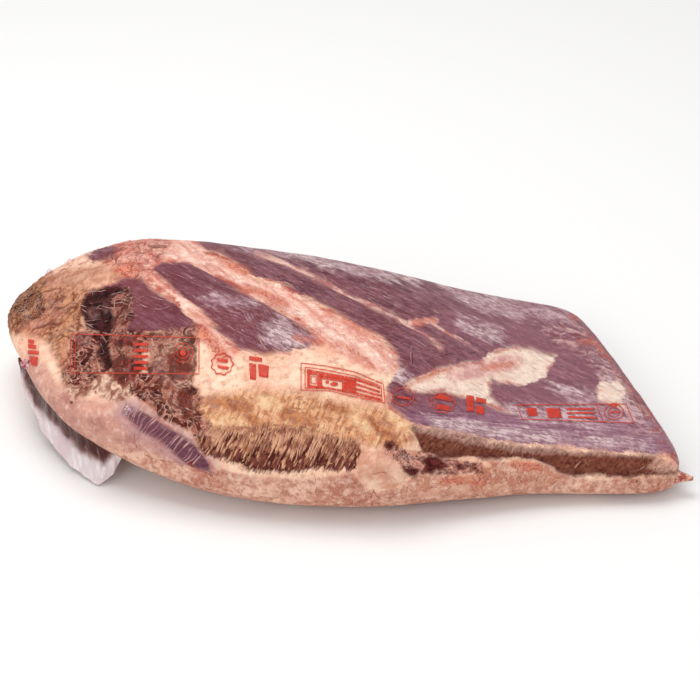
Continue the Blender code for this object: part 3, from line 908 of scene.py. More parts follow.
class Skin:
    """Where the picture's points meet a surface, also past the view's edge, and the way out from it there."""

    MARGIN = 200
    FINER = 3

    def __init__(self, grid, normals, place, past):
        corners = np.concatenate([grid, normals, place, past[..., None]], -1)
        share = (np.arange(self.FINER) / self.FINER)[:, None]
        rows = corners[:-1, None] * (1 - share[:, None]) + corners[1:, None] * share[:, None]
        rows = rows.reshape(-1, *corners.shape[1:])
        ahead = np.roll(rows, -1, axis=1)
        fine = (rows[:, :, None] * (1 - share) + ahead[:, :, None] * share).reshape(-1, corners.shape[-1])
        fine = fine[np.argsort(-fine[:, 8], kind="stable")]
        self.points, self.normals, self.past = fine[:, :3], fine[:, 3:6], fine[:, 8]
        size = PICTURE + 2 * self.MARGIN
        cells = np.clip(np.rint(fine[:, 6:8]).astype(int) + self.MARGIN, 0, size - 1)
        self.nearest = np.full((size, size), -1)
        self.nearest[cells[:, 1], cells[:, 0]] = np.arange(len(fine))
        for shift, axis in ((1, 0), (-1, 0), (1, 1), (-1, 1)) * 6:
            beside = np.roll(self.nearest, shift, axis)
            self.nearest = np.where(self.nearest < 0, beside, self.nearest)

    def meet(self, picture):
        """Points and outward directions where picture points (..., 2) meet the skin's tangent planes."""
        size = PICTURE + 2 * self.MARGIN
        cells = np.clip(np.rint(picture).astype(int) + self.MARGIN, 0, size - 1)
        index = self.nearest[cells[..., 1], cells[..., 0]]
        points, normals = self.points[index], self.normals[index]
        normals = normals / np.linalg.norm(normals, axis=-1, keepdims=True)
        half = PICTURE / 2
        right = (picture[..., :1] - half) / half * VIEW_SLOPE
        up = (half - picture[..., 1:]) / half * VIEW_SLOPE
        ray = VIEW_AHEAD + right * VIEW_RIGHT + up * VIEW_UP
        facing = (ray * normals).sum(-1)
        reach = ((points - VIEW_PLACE) * normals).sum(-1) / np.where(np.abs(facing) < 0.05, -0.05, facing)
        met = VIEW_PLACE + ray * reach[..., None]
        steady = (facing < -0.12) & (self.past[index] < MM) & (np.linalg.norm(met - points, axis=-1) < 4 * MM)
        return np.where(steady[..., None], met, points), normals


def run_along(line, count):
    """A line of picture points cut into equal steps and rounded by averaging neighbours."""
    corners = np.array(line, float)
    length = np.concatenate([[0], np.cumsum(np.linalg.norm(np.diff(corners, axis=0), axis=1))])
    steps = np.linspace(0, length[-1], count)
    path = np.stack([np.interp(steps, length, corners[:, k]) for k in range(2)], -1)
    return rounded(path, count // 8)


def rounded(points, times):
    """Lines of points averaged with their neighbours that many times, their ends kept."""
    for _ in range(times):
        points[..., 1:-1, :] = (points[..., :-2, :] + 2 * points[..., 1:-1, :] + points[..., 2:, :]) / 4
    return points


def wavered(paths, amount, grain, seed):
    """Paths of picture points moved sideways by noise, in picture points."""
    across, down = paths[..., 0] * grain, paths[..., 1] * grain
    return paths + amount * np.stack([noise_over(seed, across, down), noise_over(seed + 1, across, down)], -1)


def threads(name, skin, paths, half_width, height, lift=0.0, sides=5):
    """Tapered threads laid on the skin: at each step a half ellipse of half width and height, flat side down.
    Paths are (threads, steps, 2); widths and heights are one number or an array of threads by steps."""
    points, normals = skin.meet(paths)
    points = rounded(points, 2)
    ahead = np.gradient(points, axis=1)
    ahead /= np.maximum(np.linalg.norm(ahead, axis=-1, keepdims=True), 1e-9)
    across = np.cross(normals, ahead)
    across /= np.maximum(np.linalg.norm(across, axis=-1, keepdims=True), 1e-9)
    steps = np.linspace(0, 1, paths.shape[1])
    taper = np.clip(np.minimum(steps, 1 - steps) * 4, 0.04, 1) ** 0.6
    turn = np.linspace(0, 2 * np.pi, sides, endpoint=False) + 0.5 * np.pi
    side, up = np.cos(turn), np.sin(turn)
    up = np.where(up < 0, up * 0.35, up)
    wide = (np.ones(paths.shape[:2]) * half_width * taper)[..., None, None]
    tall = (np.ones(paths.shape[:2]) * height * taper)[..., None, None]
    rings = points[:, :, None] + normals[:, :, None] * lift
    rings = rings + across[:, :, None] * side[:, None] * wide + normals[:, :, None] * up[:, None] * tall
    return tubes(name, rings)


def tubes(name, rings):
    """Closed tubes from rings (tubes, steps, sides, 3), each end a flat face."""
    many, steps, sides = rings.shape[:3]
    index = np.arange(many * steps * sides).reshape(many, steps, sides)
    beside = np.roll(index, -1, axis=2)
    walls = np.stack([index[:, :-1], index[:, 1:], beside[:, 1:], beside[:, :-1]], -1).reshape(-1, 4)
    ends = np.concatenate([index[:, 0], index[:, -1, ::-1]])
    corners = np.concatenate([walls.ravel(), ends.ravel()])
    sizes = np.concatenate([np.full(len(walls), 4), np.full(len(ends), sides)])
    piece = mesh_from(name, rings.reshape(-1, 3), corners, sizes)
    merge_doubles(piece, closed=True)
    return piece


def merge_doubles(piece, closed):
    """Merges points that coincide, drops faces without area, and turns closed parts right side out."""
    work = bmesh.new()
    work.from_mesh(piece.data)
    bmesh.ops.remove_doubles(work, verts=work.verts, dist=1e-6)
    bmesh.ops.dissolve_degenerate(work, edges=work.edges, dist=1e-7)
    if closed:
        bmesh.ops.recalc_face_normals(work, faces=work.faces)
    work.to_mesh(piece.data)
    work.free()
    piece.data.shade_smooth()


def thin_wall(piece, thickness, offset=-1):
    """Gives a sheet its thickness."""
    wall = piece.modifiers.new("wall", "SOLIDIFY")
    wall.thickness = thickness
    wall.offset = offset
    return piece


def sheets(name, skin, patches, lift, thickness):
    """Printed patches, each a grid of picture points, as one sheet on the skin, walled to the thickness."""
    points, corners, sizes, count = [], [], [], 0
    for patch in patches:
        met, normals = skin.meet(patch)
        met = met + normals * lift
        index = count + np.arange(met[..., 0].size).reshape(met.shape[:2])
        quads = np.stack([index[:-1, :-1], index[1:, :-1], index[1:, 1:], index[:-1, 1:]], -1).reshape(-1, 4)
        facing = np.cross(met[1:, :-1] - met[:-1, :-1], met[:-1, 1:] - met[:-1, :-1])
        if (facing * normals[:-1, :-1]).sum() < 0:
            quads = quads[:, ::-1]
        points.append(met.reshape(-1, 3))
        corners.append(quads.ravel())
        sizes.append(np.full(len(quads), 4))
        count += met[..., 0].size
    piece = mesh_from(name, np.concatenate(points), np.concatenate(corners), np.concatenate(sizes))
    merge_doubles(piece, closed=False)
    return thin_wall(piece, thickness)


def open_sheet(name, sheet, normals=None):
    """A grid of points as one sheet; where normals are given, its faces are turned to face along them."""
    rows, steps = sheet.shape[:2]
    index = np.arange(rows * steps).reshape(rows, steps)
    quads = np.stack([index[:-1, :-1], index[:-1, 1:], index[1:, 1:], index[1:, :-1]], -1).reshape(-1, 4)
    if normals is not None:
        facing = np.cross(sheet[:-1, 1:] - sheet[:-1, :-1], sheet[1:, :-1] - sheet[:-1, :-1])
        if (facing * normals[:-1, :-1]).sum() < 0:
            quads = quads[:, ::-1]
    return mesh_from(name, sheet.reshape(-1, 3), quads.ravel(), np.full(len(quads), 4))


def bar_patch(corners, count=7):
    """A four-cornered bar as a grid, by blending its two long sides."""
    first, second, third, fourth = (np.array(corner, float) for corner in corners)
    u, v = np.meshgrid(np.linspace(0, 1, count), np.linspace(0, 1, count), indexing="ij")
    u, v = u[..., None], v[..., None]
    return (first * (1 - u) + second * u) * (1 - v) + (fourth * (1 - u) + third * u) * v


def ring_patch(middle_x, middle_y, reach_x, reach_y, width, waves, count=64):
    """A ring round a middle, its edge drawn in and out in waves; a width of the whole reach fills it."""
    turn = np.linspace(0, 2 * np.pi, count)
    edge = 1 + 0.07 * np.cos(waves * turn) * (waves > 0)
    scale = np.linspace(1, max(0, 1 - width / reach_x), 4)[:, None]
    across = middle_x + reach_x * scale * edge * np.cos(turn)
    down = middle_y + reach_y * scale * edge * np.sin(turn)
    return np.stack([across, down], -1)


def closed_mesh(name, grid):
    """A grid closed round its columns, with a fan at each end, as one outward surface."""
    rows, columns = grid.shape[:2]
    start, end = grid[0].mean(axis=0), grid[-1].mean(axis=0)
    points = np.concatenate([grid.reshape(-1, 3), [start, end]])
    index = np.arange(rows * columns).reshape(rows, columns)
    ahead = np.roll(index, -1, axis=1)
    quads = np.stack([index[:-1], ahead[:-1], ahead[1:], index[1:]], -1).reshape(-1, 4)
    first = np.stack([np.full(columns, rows * columns), ahead[0], index[0]], -1)
    last = np.stack([np.full(columns, rows * columns + 1), index[-1], ahead[-1]], -1)
    corners = np.concatenate([quads.ravel(), first.ravel(), last.ravel()])
    sizes = np.concatenate([np.full(len(quads), 4), np.full(2 * columns, 3)])
    return mesh_from(name, points, corners, sizes)


def mesh_from(name, points, corners, sizes):
    """A smooth-shaded mesh object from whole arrays of points, corners and face sizes."""
    mesh = bpy.data.meshes.new(name)
    mesh.vertices.add(len(points))
    mesh.vertices.foreach_set("co", np.ascontiguousarray(points, np.float32).ravel())
    mesh.loops.add(len(corners))
    mesh.loops.foreach_set("vertex_index", np.ascontiguousarray(corners, np.int32))
    mesh.polygons.add(len(sizes))
    mesh.polygons.foreach_set("loop_start", np.concatenate([[0], np.cumsum(sizes)[:-1]]).astype(np.int32))
    mesh.polygons.foreach_set("loop_total", np.ascontiguousarray(sizes, np.int32))
    mesh.update(calc_edges=True)
    mesh.validate()
    mesh.shade_smooth()
    piece = bpy.data.objects.new(name, mesh)
    bpy.context.scene.collection.objects.link(piece)
    return piece


def store(piece, name, values, tips=True):
    """A named number or vector at every vertex; a fan's tip takes the mean of its ring."""
    vector = values.shape[-1] == 3 and values.ndim > 2
    flat = values.reshape(-1, 3 if vector else 1)
    if tips:
        ends = np.array([values[0].mean(axis=0), values[-1].mean(axis=0)]).reshape(2, -1)
        flat = np.concatenate([flat, ends])
    layer = piece.data.attributes.new(name, "FLOAT_VECTOR" if vector else "FLOAT", "POINT")
    layer.data.foreach_set("vector" if vector else "value", flat.astype(np.float32).ravel())


def linear(colour):
    """The shader's colour for a screen colour of 0 to 255."""
    share = np.array(colour) / 255
    return (*np.where(share < 0.04045, share / 12.92, ((share + 0.055) / 1.055) ** 2.4), 1.0)


class Value:
    """One number in a finish. Sums, products and powers of it add Math nodes."""

    def __init__(self, finish, socket):
        self.finish = finish
        self.socket = socket

    def __add__(self, other):
        return self.finish.math("ADD", self, other)

    __radd__ = __add__

    def __sub__(self, other):
        return self.finish.math("SUBTRACT", self, other)

    def __rsub__(self, other):
        return self.finish.math("SUBTRACT", other, self)

    def __mul__(self, other):
        return self.finish.math("MULTIPLY", self, other)

    __rmul__ = __mul__

    def __truediv__(self, other):
        return self.finish.math("DIVIDE", self, other)

    def __abs__(self):
        return self.finish.math("ABSOLUTE", self)


class Finish:
    """A material's node tree, built from expressions."""

    def __init__(self, name):
        self.material = bpy.data.materials.new(name)
        self.material.use_nodes = True
        self.nodes = self.material.node_tree.nodes
        self.links = self.material.node_tree.links
        self.shader = self.nodes["Principled BSDF"]
        self.object_place = self.node("ShaderNodeTexCoord").outputs["Object"]

    def node(self, kind, settings=None, **inputs):
        """Any node: its settings first, then the values or links of its sockets, named with _ for a space."""
        made = self.nodes.new(kind)
        for key, value in (settings or {}).items():
            setattr(made, key, value)
        for key, value in inputs.items():
            socket = made.inputs[int(key[1:])] if key[0] == "_" else made.inputs[key.replace("_", " ")]
            self.set(socket, value)
        return made

    def set(self, socket, value):
        """Links a value or an output to a socket, or sets its number or colour."""
        if isinstance(value, Value):
            value = value.socket
        if isinstance(value, bpy.types.NodeSocket):
            self.links.new(value, socket)
        else:
            socket.default_value = value

    def shade(self, **values):
        """Links or sets the shader's own sockets, named with _ for a space."""
        for key, value in values.items():
            self.set(self.shader.inputs[key.replace("_", " ")], value)

    def math(self, operation, first, second=None):
        """One Math node."""
        given = {f"_{k}": v for k, v in enumerate((first, second)) if v is not None}
        return Value(self, self.node("ShaderNodeMath", {"operation": operation}, **given).outputs[0])

    def attribute(self, name):
        """A number stored at the vertices."""
        return Value(self, self.node("ShaderNodeAttribute", {"attribute_name": name}).outputs["Fac"])

    def attribute_vector(self, name):
        """A vector stored at the vertices."""
        return self.node("ShaderNodeAttribute", {"attribute_name": name}).outputs["Vector"]

    def mapped(self, vector, turn=0.0, stretch=(1, 1, 1)):
        """A vector turned by degrees about Z, then stretched."""
        turned = self.node("ShaderNodeMapping", Vector=vector, Rotation=(0, 0, math.radians(turn))).outputs[0]
        return self.node("ShaderNodeMapping", Vector=turned, Scale=stretch).outputs[0]

    def noise(self, vector, scale, detail=3.0, roughness=0.55, distortion=0.0):
        """Cloudy noise, mostly between 0.3 and 0.7."""
        given = dict(Scale=scale, Detail=detail, Roughness=roughness, Distortion=distortion)
        return Value(self, self.node("ShaderNodeTexNoise", Vector=vector, **given).outputs[0])

    def streaks(self, vector, turn, stretch, detail, roughness, distortion):
        """Noise drawn out along a direction of a vector."""
        return self.noise(self.mapped(vector, turn, stretch), 1.0, detail, roughness, distortion)

    def step(self, value, low, high):
        """0 below low, 1 above high, eased between; low may be above high."""
        smooth = {"interpolation_type": "SMOOTHSTEP"}
        made = self.node("ShaderNodeMapRange", smooth, Value=value, From_Min=low, From_Max=high)
        return Value(self, made.outputs[0])

    def ridge(self, noise, width, middle=0.5):
        """Thin lines where a noise passes its middle."""
        return self.step(abs(noise - middle), width, width * 0.2)

    def mix(self, share, first, second):
        """The first colour, or the second where share is 1."""
        first, second = (linear(c) if isinstance(c, tuple) else c for c in (first, second))
        made = self.node("ShaderNodeMix", {"data_type": "RGBA"}, _0=share, _6=first, _7=second)
        return made.outputs[2]

    def coats(self, colour, *coats):
        """A colour with others laid over it in turn, each given with its share."""
        for share, over in coats:
            colour = self.mix(share, colour, over)
        return colour

    def bumps(self, height, strength, distance, normal=None):
        """A Bump node; chained ones take the last one's normal."""
        given = {"Normal": normal} if normal is not None else {}
        made = self.node("ShaderNodeBump", Height=height, Strength=strength, Distance=distance, **given)
        return made.outputs[0]

    def put_on(self, piece):
        """Makes this the piece's only material."""
        piece.data.materials.clear()
        piece.data.materials.append(self.material)


def meat_patterns(f):
    """The noises, streaks and regions that the meat's colours share, and how ragged the edges are."""
    place, view = f.object_place, f.attribute_vector("view_place")
    p = SimpleNamespace(view=view)
    p.region = {name: f.attribute(name) for name in REGION_NAMES}
    p.across, p.down = (Value(f, f.node("ShaderNodeSeparateXYZ", Vector=view).outputs[k]) for k in range(2))
    p.cloud = f.noise(place, 26, 3, 0.6)
    p.blotch = f.noise(place, 75, 5, 0.66)
    p.mottle = f.noise(place, 210, 4, 0.66)
    p.grit = f.noise(place, 700, 2, 0.6)
    p.swirl = f.noise(place, 125, 2, 0.5, 1.6)
    p.curl = f.ridge(p.swirl, 0.045)
    p.fine_curl = f.ridge(f.noise(place, 260, 2, 0.5, 1.2), 0.05)
    p.capillary = f.ridge(f.noise(place, 60, 3, 0.6, 1.6), 0.012)
    p.patchy = f.step(p.blotch, 0.44, 0.58)
    # Painted shade: darker where the bump's mottle and blotch noise is low, in the hollows between the lumps.
    p.hollows = f.step(p.mottle + (p.blotch - 0.5) * 0.5, 0.46, 0.34)
    p.streak = f.streaks(view, -27, (2.6, 24, 1), 3, 0.6, 0.3)
    p.short_streak = f.streaks(view, -25, (12, 62, 1), 2, 0.6, 0.3)
    p.level_streak = f.streaks(view, -7, (3, 40, 1), 3, 0.6, 0.2)
    p.strand = f.streaks(view, 66, (6, 28, 1), 3, 0.6, 0.5)
    p.drift = f.streaks(view, -38, (3.2, 11, 1), 4, 0.66, 0.5)
    p.front = f.step(p.down, 3.95, 4.2)
    p.fibre = p.streak + (p.level_streak - p.streak) * p.front
    p.ragged = (p.blotch - 0.5) * 10 + (p.mottle - 0.5) * 7 + (p.grit - 0.5) * 3

    def share(name, soft=1.2, spread=1.0, shift=0.0):
        return f.step(p.region[name] + p.ragged * spread + shift, -soft, soft)

    p.share = share
    return p


def fat_colour(f, p):
    """The fat, its seams and patches, the band between the muscles, the pillow and the browned fat."""
    mix, step, share, region = f.mix, f.step, p.share, p.region
    cloud, blotch, mottle, drift, swirl = p.cloud, p.blotch, p.mottle, p.drift, p.swirl
    white_fat = mix(step(blotch, 0.38, 0.64), (240, 218, 202), (222, 188, 172))
    fat = f.coats(
        (246, 206, 178),
        (step(cloud, 0.40, 0.62), (238, 186, 158)),
        (step(blotch, 0.46, 0.72) * 0.65, (222, 152, 130)),
        (step(mottle, 0.50, 0.72) * 0.5, (252, 224, 204)),
        (p.capillary * step(cloud, 0.46, 0.58) * 0.45, (196, 100, 80)),
        # Painted shade in the fat's hollows.
        (p.hollows * 0.35, (214, 146, 118)),
        (share("white_fat", 5, 0.6, 4) * 0.95, white_fat),
        (step(region["seams"], -6, -1) * 0.85, mix(p.patchy, (230, 186, 174), (198, 140, 138))),
    )
    band = f.coats(
        (238, 194, 178),
        (step(drift, 0.36, 0.64), (214, 148, 134)),
        (step(drift + (mottle - 0.5) * 0.5, 0.54, 0.70) * 0.6, (186, 94, 80)),
        (step(mottle + (drift - 0.5) * -0.6, 0.52, 0.70) * 0.6, (252, 228, 214)),
        (step(region["band"] + p.ragged, 9, 1) * p.patchy * 0.7, (204, 98, 78)),
        (p.capillary * 0.6, (176, 74, 60)),
    )
    pillow = f.coats(
        (204, 152, 136),
        (step(cloud, 0.36, 0.62), (178, 124, 116)),
        (step(blotch, 0.46, 0.70) * 0.5, (208, 146, 124)),
        (step(mottle, 0.50, 0.70) * 0.35, (232, 194, 180)),
    )
    tan = f.coats(
        (208, 150, 114),
        (step(blotch, 0.36, 0.62), (156, 94, 66)),
        (step(swirl, 0.48, 0.60) * 0.8, (114, 58, 36)),
        (step(cloud, 0.48, 0.62) * 0.5, (196, 122, 102)),
        (step(mottle, 0.46, 0.34) * 0.6, (234, 190, 152)),
        (p.fine_curl * step(blotch, 0.42, 0.56) * 0.7, (86, 36, 22)),
    )
    pale_tan = f.coats(
        (212, 160, 132),
        (step(blotch, 0.36, 0.62), (166, 106, 82)),
        (step(swirl, 0.52, 0.62) * 0.5, (146, 78, 56)),
    )
    cream_lumps = f.coats(
        (222, 184, 160),
        (step(swirl, 0.38, 0.60), (140, 88, 72)),
        (p.fine_curl * 0.5, (118, 60, 44)),
    )
    knob = f.coats(
        (230, 174, 156),
        (step(mottle, 0.38, 0.60), (198, 116, 98)),
        (step(blotch + (drift - 0.5), 0.46, 0.62) * 0.75, (170, 70, 56)),
        (p.curl * 0.75, (150, 46, 38)),
        (step(p.grit + (mottle - 0.5), 0.54, 0.68) * 0.5, (248, 218, 204)),
    )
    return f.coats(
        fat,
        (share("band", 5, 0.9) * 0.9, band),
        (share("pillow", 6, 0.9) * 0.92, pillow),
        (step(region["striped"] + p.ragged * 0.4, -17, -2) * 0.65, (180, 140, 140)),
        (share("tan", 5, 1.2), tan),
        (share("pale_tan", 4, 1.0) * 0.9, pale_tan),
        (share("cream_lumps", 2, 1.0) * 0.95, cream_lumps),
        (share("knobbly", 4, 1.3) * 0.92, knob),
    )


def crust_and_cap(f, p, colour):
    """The yellow-brown crust over the grain, then the fat cap along the foot, blushed under the cut side; the
    cap is darker than the fat above, partly its own tone and partly painted shade of its lower, front-facing
    side.
    """
    mix, step, share = f.mix, f.step, p.share
    cloud, blotch, mottle, swirl, strand = p.cloud, p.blotch, p.mottle, p.swirl, p.strand
    brown = mix(step(mottle, 0.40, 0.60), (194, 126, 84), (138, 72, 46))
    pale = mix(step(mottle, 0.40, 0.60), (244, 210, 168), (206, 150, 108))
    crust = f.coats(
        (238, 190, 146),
        (step(mottle, 0.36, 0.62), (206, 142, 100)),
        (step(blotch, 0.46, 0.66) * 0.8, (176, 100, 66)),
        (step(strand, 0.52, 0.66) * 0.5, (246, 208, 170)),
        (step(swirl + (blotch - 0.5), 0.54, 0.68) * 0.6, (146, 78, 50)),
        (p.fine_curl * 0.35, (156, 84, 58)),
        (step(strand + (blotch - 0.5) * 0.6, 0.46, 0.34) * 0.65, (152, 84, 54)),
        (share("brown_crust", 4, 0.8) * 0.8, brown),
        (share("pale_crust", 4, 0.8) * 0.75, pale),
    )
    cap_veins = f.ridge(f.streaks(p.view, 78, (5, 13, 1), 4, 0.65, 1.1), 0.02)
    # The cap's colours, darker than the fat above: partly its own tone, partly painted shade of its lower,
    # front-facing side, and painted shade in its hollows.
    cap = f.coats(
        (224, 176, 154),
        (step(cloud, 0.38, 0.62), (200, 144, 124)),
        (step(blotch, 0.42, 0.66) * 0.75, (186, 122, 100)),
        (step(mottle, 0.44, 0.68) * 0.5, (240, 206, 184)),
        (step(swirl + (blotch - 0.5), 0.54, 0.68) * 0.35, (164, 98, 78)),
        (p.fine_curl * step(cloud, 0.44, 0.58) * 0.4, (150, 82, 62)),
        (cap_veins * p.patchy * 0.65, (140, 66, 46)),
        (p.hollows * 0.45, (160, 98, 76)),
    )
    blush = step(p.region["blushed"] + p.ragged, -6, 6)
    return f.coats(
        colour,
        (share("crust", 7, 2.0), crust),
        (share("cap", 2.5, 0.8), cap),
        (blush * step(mottle, 0.52, 0.38) * 0.6, (238, 198, 166)),
        (blush * step(swirl + (blotch - 0.5), 0.50, 0.64) * 0.5, (184, 100, 72)),
        (blush * p.curl * 0.6, (156, 62, 44)),
    )


def lean_colour(f, p):
    """The lean, streaked along its grain, paler to the right, with silver skin and the mottled flat end."""
    mix, step, region, fibre = f.mix, f.step, p.region, p.fibre
    silver_edge = region["silver"] + p.ragged * 1.5 + (fibre - 0.5) * 30
    silver = step(silver_edge, -5, 9)
    silver_skin = mix(step(p.cloud, 0.42, 0.60), (228, 204, 202), (192, 158, 168))
    mottled = step(region["mottled"] + p.ragged, -6, 6)
    flecks = f.streaks(p.view, -14, (9, 24, 1), 4, 0.7, 0.6)
    return f.coats(
        (96, 48, 60),
        (step(fibre, 0.36, 0.64), (134, 82, 92)),
        (step(p.cloud, 0.44, 0.64) * 0.5, (118, 58, 62)),
        (p.front * 0.7, mix(step(fibre, 0.36, 0.64), (116, 78, 102), (156, 116, 138))),
        (step(p.short_streak, 0.52, 0.70) * 0.42, (176, 130, 138)),
        (step(p.short_streak, 0.46, 0.32) * 0.42, (78, 36, 48)),
        (step(p.across, 3.8, 5.2) * 0.28, (168, 120, 136)),
        (step(p.across, 2.4, 1.7) * 0.35, (108, 42, 50)),
        (step(region["striped"], -3, 1) * 0.6, (88, 44, 56)),
        (silver * (0.28 + step(p.short_streak + (p.mottle - 0.5), 0.38, 0.62) * 0.55), silver_skin),
        (mottled * step(flecks, 0.49, 0.60) * 0.7, (214, 170, 164)),
        (mottled * step(flecks, 0.46, 0.36) * 0.75, (116, 38, 46)),
    )


def stains(f, p, colour, lean_edge, lean_share):
    """Red rims and lines, orange stains, painted light and shade over the relief, then the point end's lumps and
    folds with painted shade in their creases.
    """
    mix, step, share, region = f.mix, f.step, p.share, p.region
    blotch, mottle = p.blotch, p.mottle
    rim = step(abs(lean_edge + 1.4), 2.6, 0.4) * p.patchy * step(region["silver"], 4, -6)
    edge_fold = step(region["rim"] + p.ragged * 0.8, -6, -1)
    edge_colour = mix(step(mottle, 0.42, 0.60), (206, 156, 144), (142, 60, 60))
    red = step(region["red"] + p.ragged * 0.6, -2.0, 1.5)
    orange = step(region["orange"] + p.ragged * 0.9, -4.0, 4.5)
    stain = mix(step(mottle, 0.42, 0.62), (218, 132, 102), (180, 76, 58))
    # Painted shade and painted light where the bump's noise is low and high, weaker on the lean.
    shaded = step(mottle + (blotch - 0.5) * 0.8, 0.50, 0.30) * (1 - lean_share * 0.7)
    painted_light = step(mottle + (blotch - 0.5) * 0.8, 0.52, 0.72) * (1 - lean_share * 0.8)
    lumps = f.coats(
        (172, 106, 88),
        (step(p.swirl, 0.40, 0.58), (92, 32, 24)),
        (step(blotch, 0.47, 0.58) * 0.85, (46, 6, 6)),
        (p.curl * 0.65, (212, 160, 142)),
        (p.fine_curl * step(blotch, 0.54, 0.44) * 0.7, (70, 18, 14)),
    )
    maroon = mix(step(mottle, 0.38, 0.62), (54, 6, 6), (128, 42, 36))
    folds = region["folds"]
    return f.coats(
        colour,
        (rim * 0.65, (172, 76, 68)),
        (edge_fold * step(blotch + (mottle - 0.5), 0.42, 0.56) * 0.8, edge_colour),
        (red * p.patchy * 0.75, (160, 56, 46)),
        (orange * 0.72, stain),
        (orange * p.curl * 0.7, (152, 44, 36)),
        (shaded * 0.24, (112, 48, 40)),
        (painted_light * 0.18, (255, 232, 214)),
        (share("browned", 2.5, 1.2, 1.5) * (0.84 + step(p.cloud, 0.36, 0.56) * 0.16), lumps),
        (share("maroon", 2, 0.9) * 0.85, maroon),
        # Painted shade in the creases between the point end's folds.
        (step(folds, 0.15, 0.95) * 0.5, (122, 56, 38)),
        (step(folds, 0.60, 1.0) * step(mottle, 0.36, 0.52) * 0.6, (74, 22, 16)),
    )


def cut_faces(f, p, colour, grain_share):
    """The open grain with painted shade in its gaps, the flap and torn meat, the cut side, the dark crevices and
    splits with painted shade in them, and soiled spots.
    """
    mix, step, share, region = f.mix, f.step, p.share, p.region
    cloud, blotch, mottle = p.cloud, p.blotch, p.mottle
    # Painted shade in the gaps between the grain's strands, deepest towards the foot.
    gaps = step(p.strand + (region["grain_depth"] - 0.5) * -0.18, 0.56, 0.47)
    grain = f.coats(
        (214, 160, 124),
        (step(mottle, 0.38, 0.62), (170, 112, 84)),
        (gaps, mix(step(mottle, 0.40, 0.62), (70, 22, 16), (112, 58, 48))),
    )
    flap = mix(step(blotch, 0.36, 0.64), (236, 198, 174), (206, 148, 124))
    torn = f.coats(
        (198, 130, 112),
        (step(mottle + (p.swirl - 0.5), 0.40, 0.56), (98, 30, 26)),
        (p.curl * 0.7, (92, 24, 22)),
        (p.fine_curl * 0.5, (232, 190, 176)),
    )
    cut_grain = f.streaks(p.view, 50, (14, 32, 1), 4, 0.7, 0.6)
    pale_grain = step(cut_grain, 0.40, 0.60)
    cut = f.coats(
        (74, 26, 16),
        (step(cut_grain, 0.36, 0.62), (126, 70, 52)),
        (step(mottle, 0.48, 0.70) * 0.4, (166, 110, 90)),
        (step(cloud, 0.40, 0.56) * 0.35, (104, 54, 40)),
        (share("cut_foot", 3, 0.7) * 0.6, mix(step(mottle, 0.42, 0.60), (54, 12, 14), (104, 52, 46))),
        (share("cut_top", 3, 0.6) * 0.7, mix(pale_grain, (150, 112, 98), (204, 164, 148))),
        (share("cut_end", 4, 0.8) * 0.8, mix(pale_grain, (172, 122, 104), (214, 172, 152))),
    )
    rim_light = step(abs(region["cut"] + p.ragged * 0.7 - 0.4), 2.6, 0.2) * p.patchy
    in_split = step(region["split"], -4, 2)
    # The crevices: the meat's dark maroon, near black with painted shade in their depths.
    dark = f.coats(
        (26, 3, 4),
        (step(mottle, 0.40, 0.62), (72, 24, 24)),
        (in_split * 0.8, mix(step(mottle, 0.42, 0.58), (58, 10, 10), (116, 46, 42))),
        (step(blotch, 0.56, 0.70) * 0.35, (120, 72, 68)),
    )
    grey = mix(step(mottle, 0.40, 0.62), (160, 116, 110), (84, 42, 42))
    soil = step(region["soiled"] + p.ragged * 2.0, -6, 6)
    return f.coats(
        colour,
        (grain_share, grain),
        (step(region["flap"] + p.ragged * 0.3, -1, 1), flap),
        (share("split", 2, 0.9) * 0.9, torn),
        (step(region["cut"] + p.ragged * 0.95, -1.8, 1.8), cut),
        (rim_light * 0.5, (208, 164, 146)),
        (step(region["dark"] + p.ragged * 0.9, -3.0, 2.0), dark),
        (share("grey_lumps", 3, 1.0) * 0.55, grey),
        (soil * 0.45, (128, 84, 58)),
        (soil * step(mottle + (p.grit - 0.5) * 1.4, 0.54, 0.62), (44, 24, 16)),
        (step(region["spots"] + (mottle - 0.5) * 3, -0.6, 0.6) * 0.85, (84, 24, 18)),
    )


def meat_finish():
    """Lean, fat, crust, grain, cut side and stains, one over another with ragged edges."""
    f = Finish("raw meat")
    p = meat_patterns(f)
    lean_edge = p.region["lean"] + p.ragged * 0.36 + (p.streak - 0.5) * 10
    blend = f.step(p.cloud, 0.42, 0.60) * 3 + 1.0
    lean_share = f.step(lean_edge, blend * -1, blend)
    grain_share = f.step(p.region["grain"] + p.ragged * 0.7 + (p.strand - 0.5) * 18, -2.0, 2.5)
    colour = crust_and_cap(f, p, fat_colour(f, p))
    colour = f.mix(lean_share, colour, lean_colour(f, p))
    colour = stains(f, p, colour, lean_edge, lean_share)
    colour = cut_faces(f, p, colour, grain_share)

    normal = f.bumps(p.mottle * 0.7 + p.blotch * 1.4 + p.swirl * 0.8, 0.9, 0.0016)
    normal = f.bumps(p.fibre * lean_share + p.strand * grain_share * 2.5, 0.6, 0.0006, normal)
    normal = f.bumps(p.short_streak * lean_share + p.grit * 0.7, 0.4, 0.0003, normal)
    roughness = 0.56 - lean_share * 0.12 + (p.mottle - 0.5) * 0.25
    f.shade(Base_Color=colour, Roughness=roughness, Specular_IOR_Level=0.06, Normal=normal)
    return f


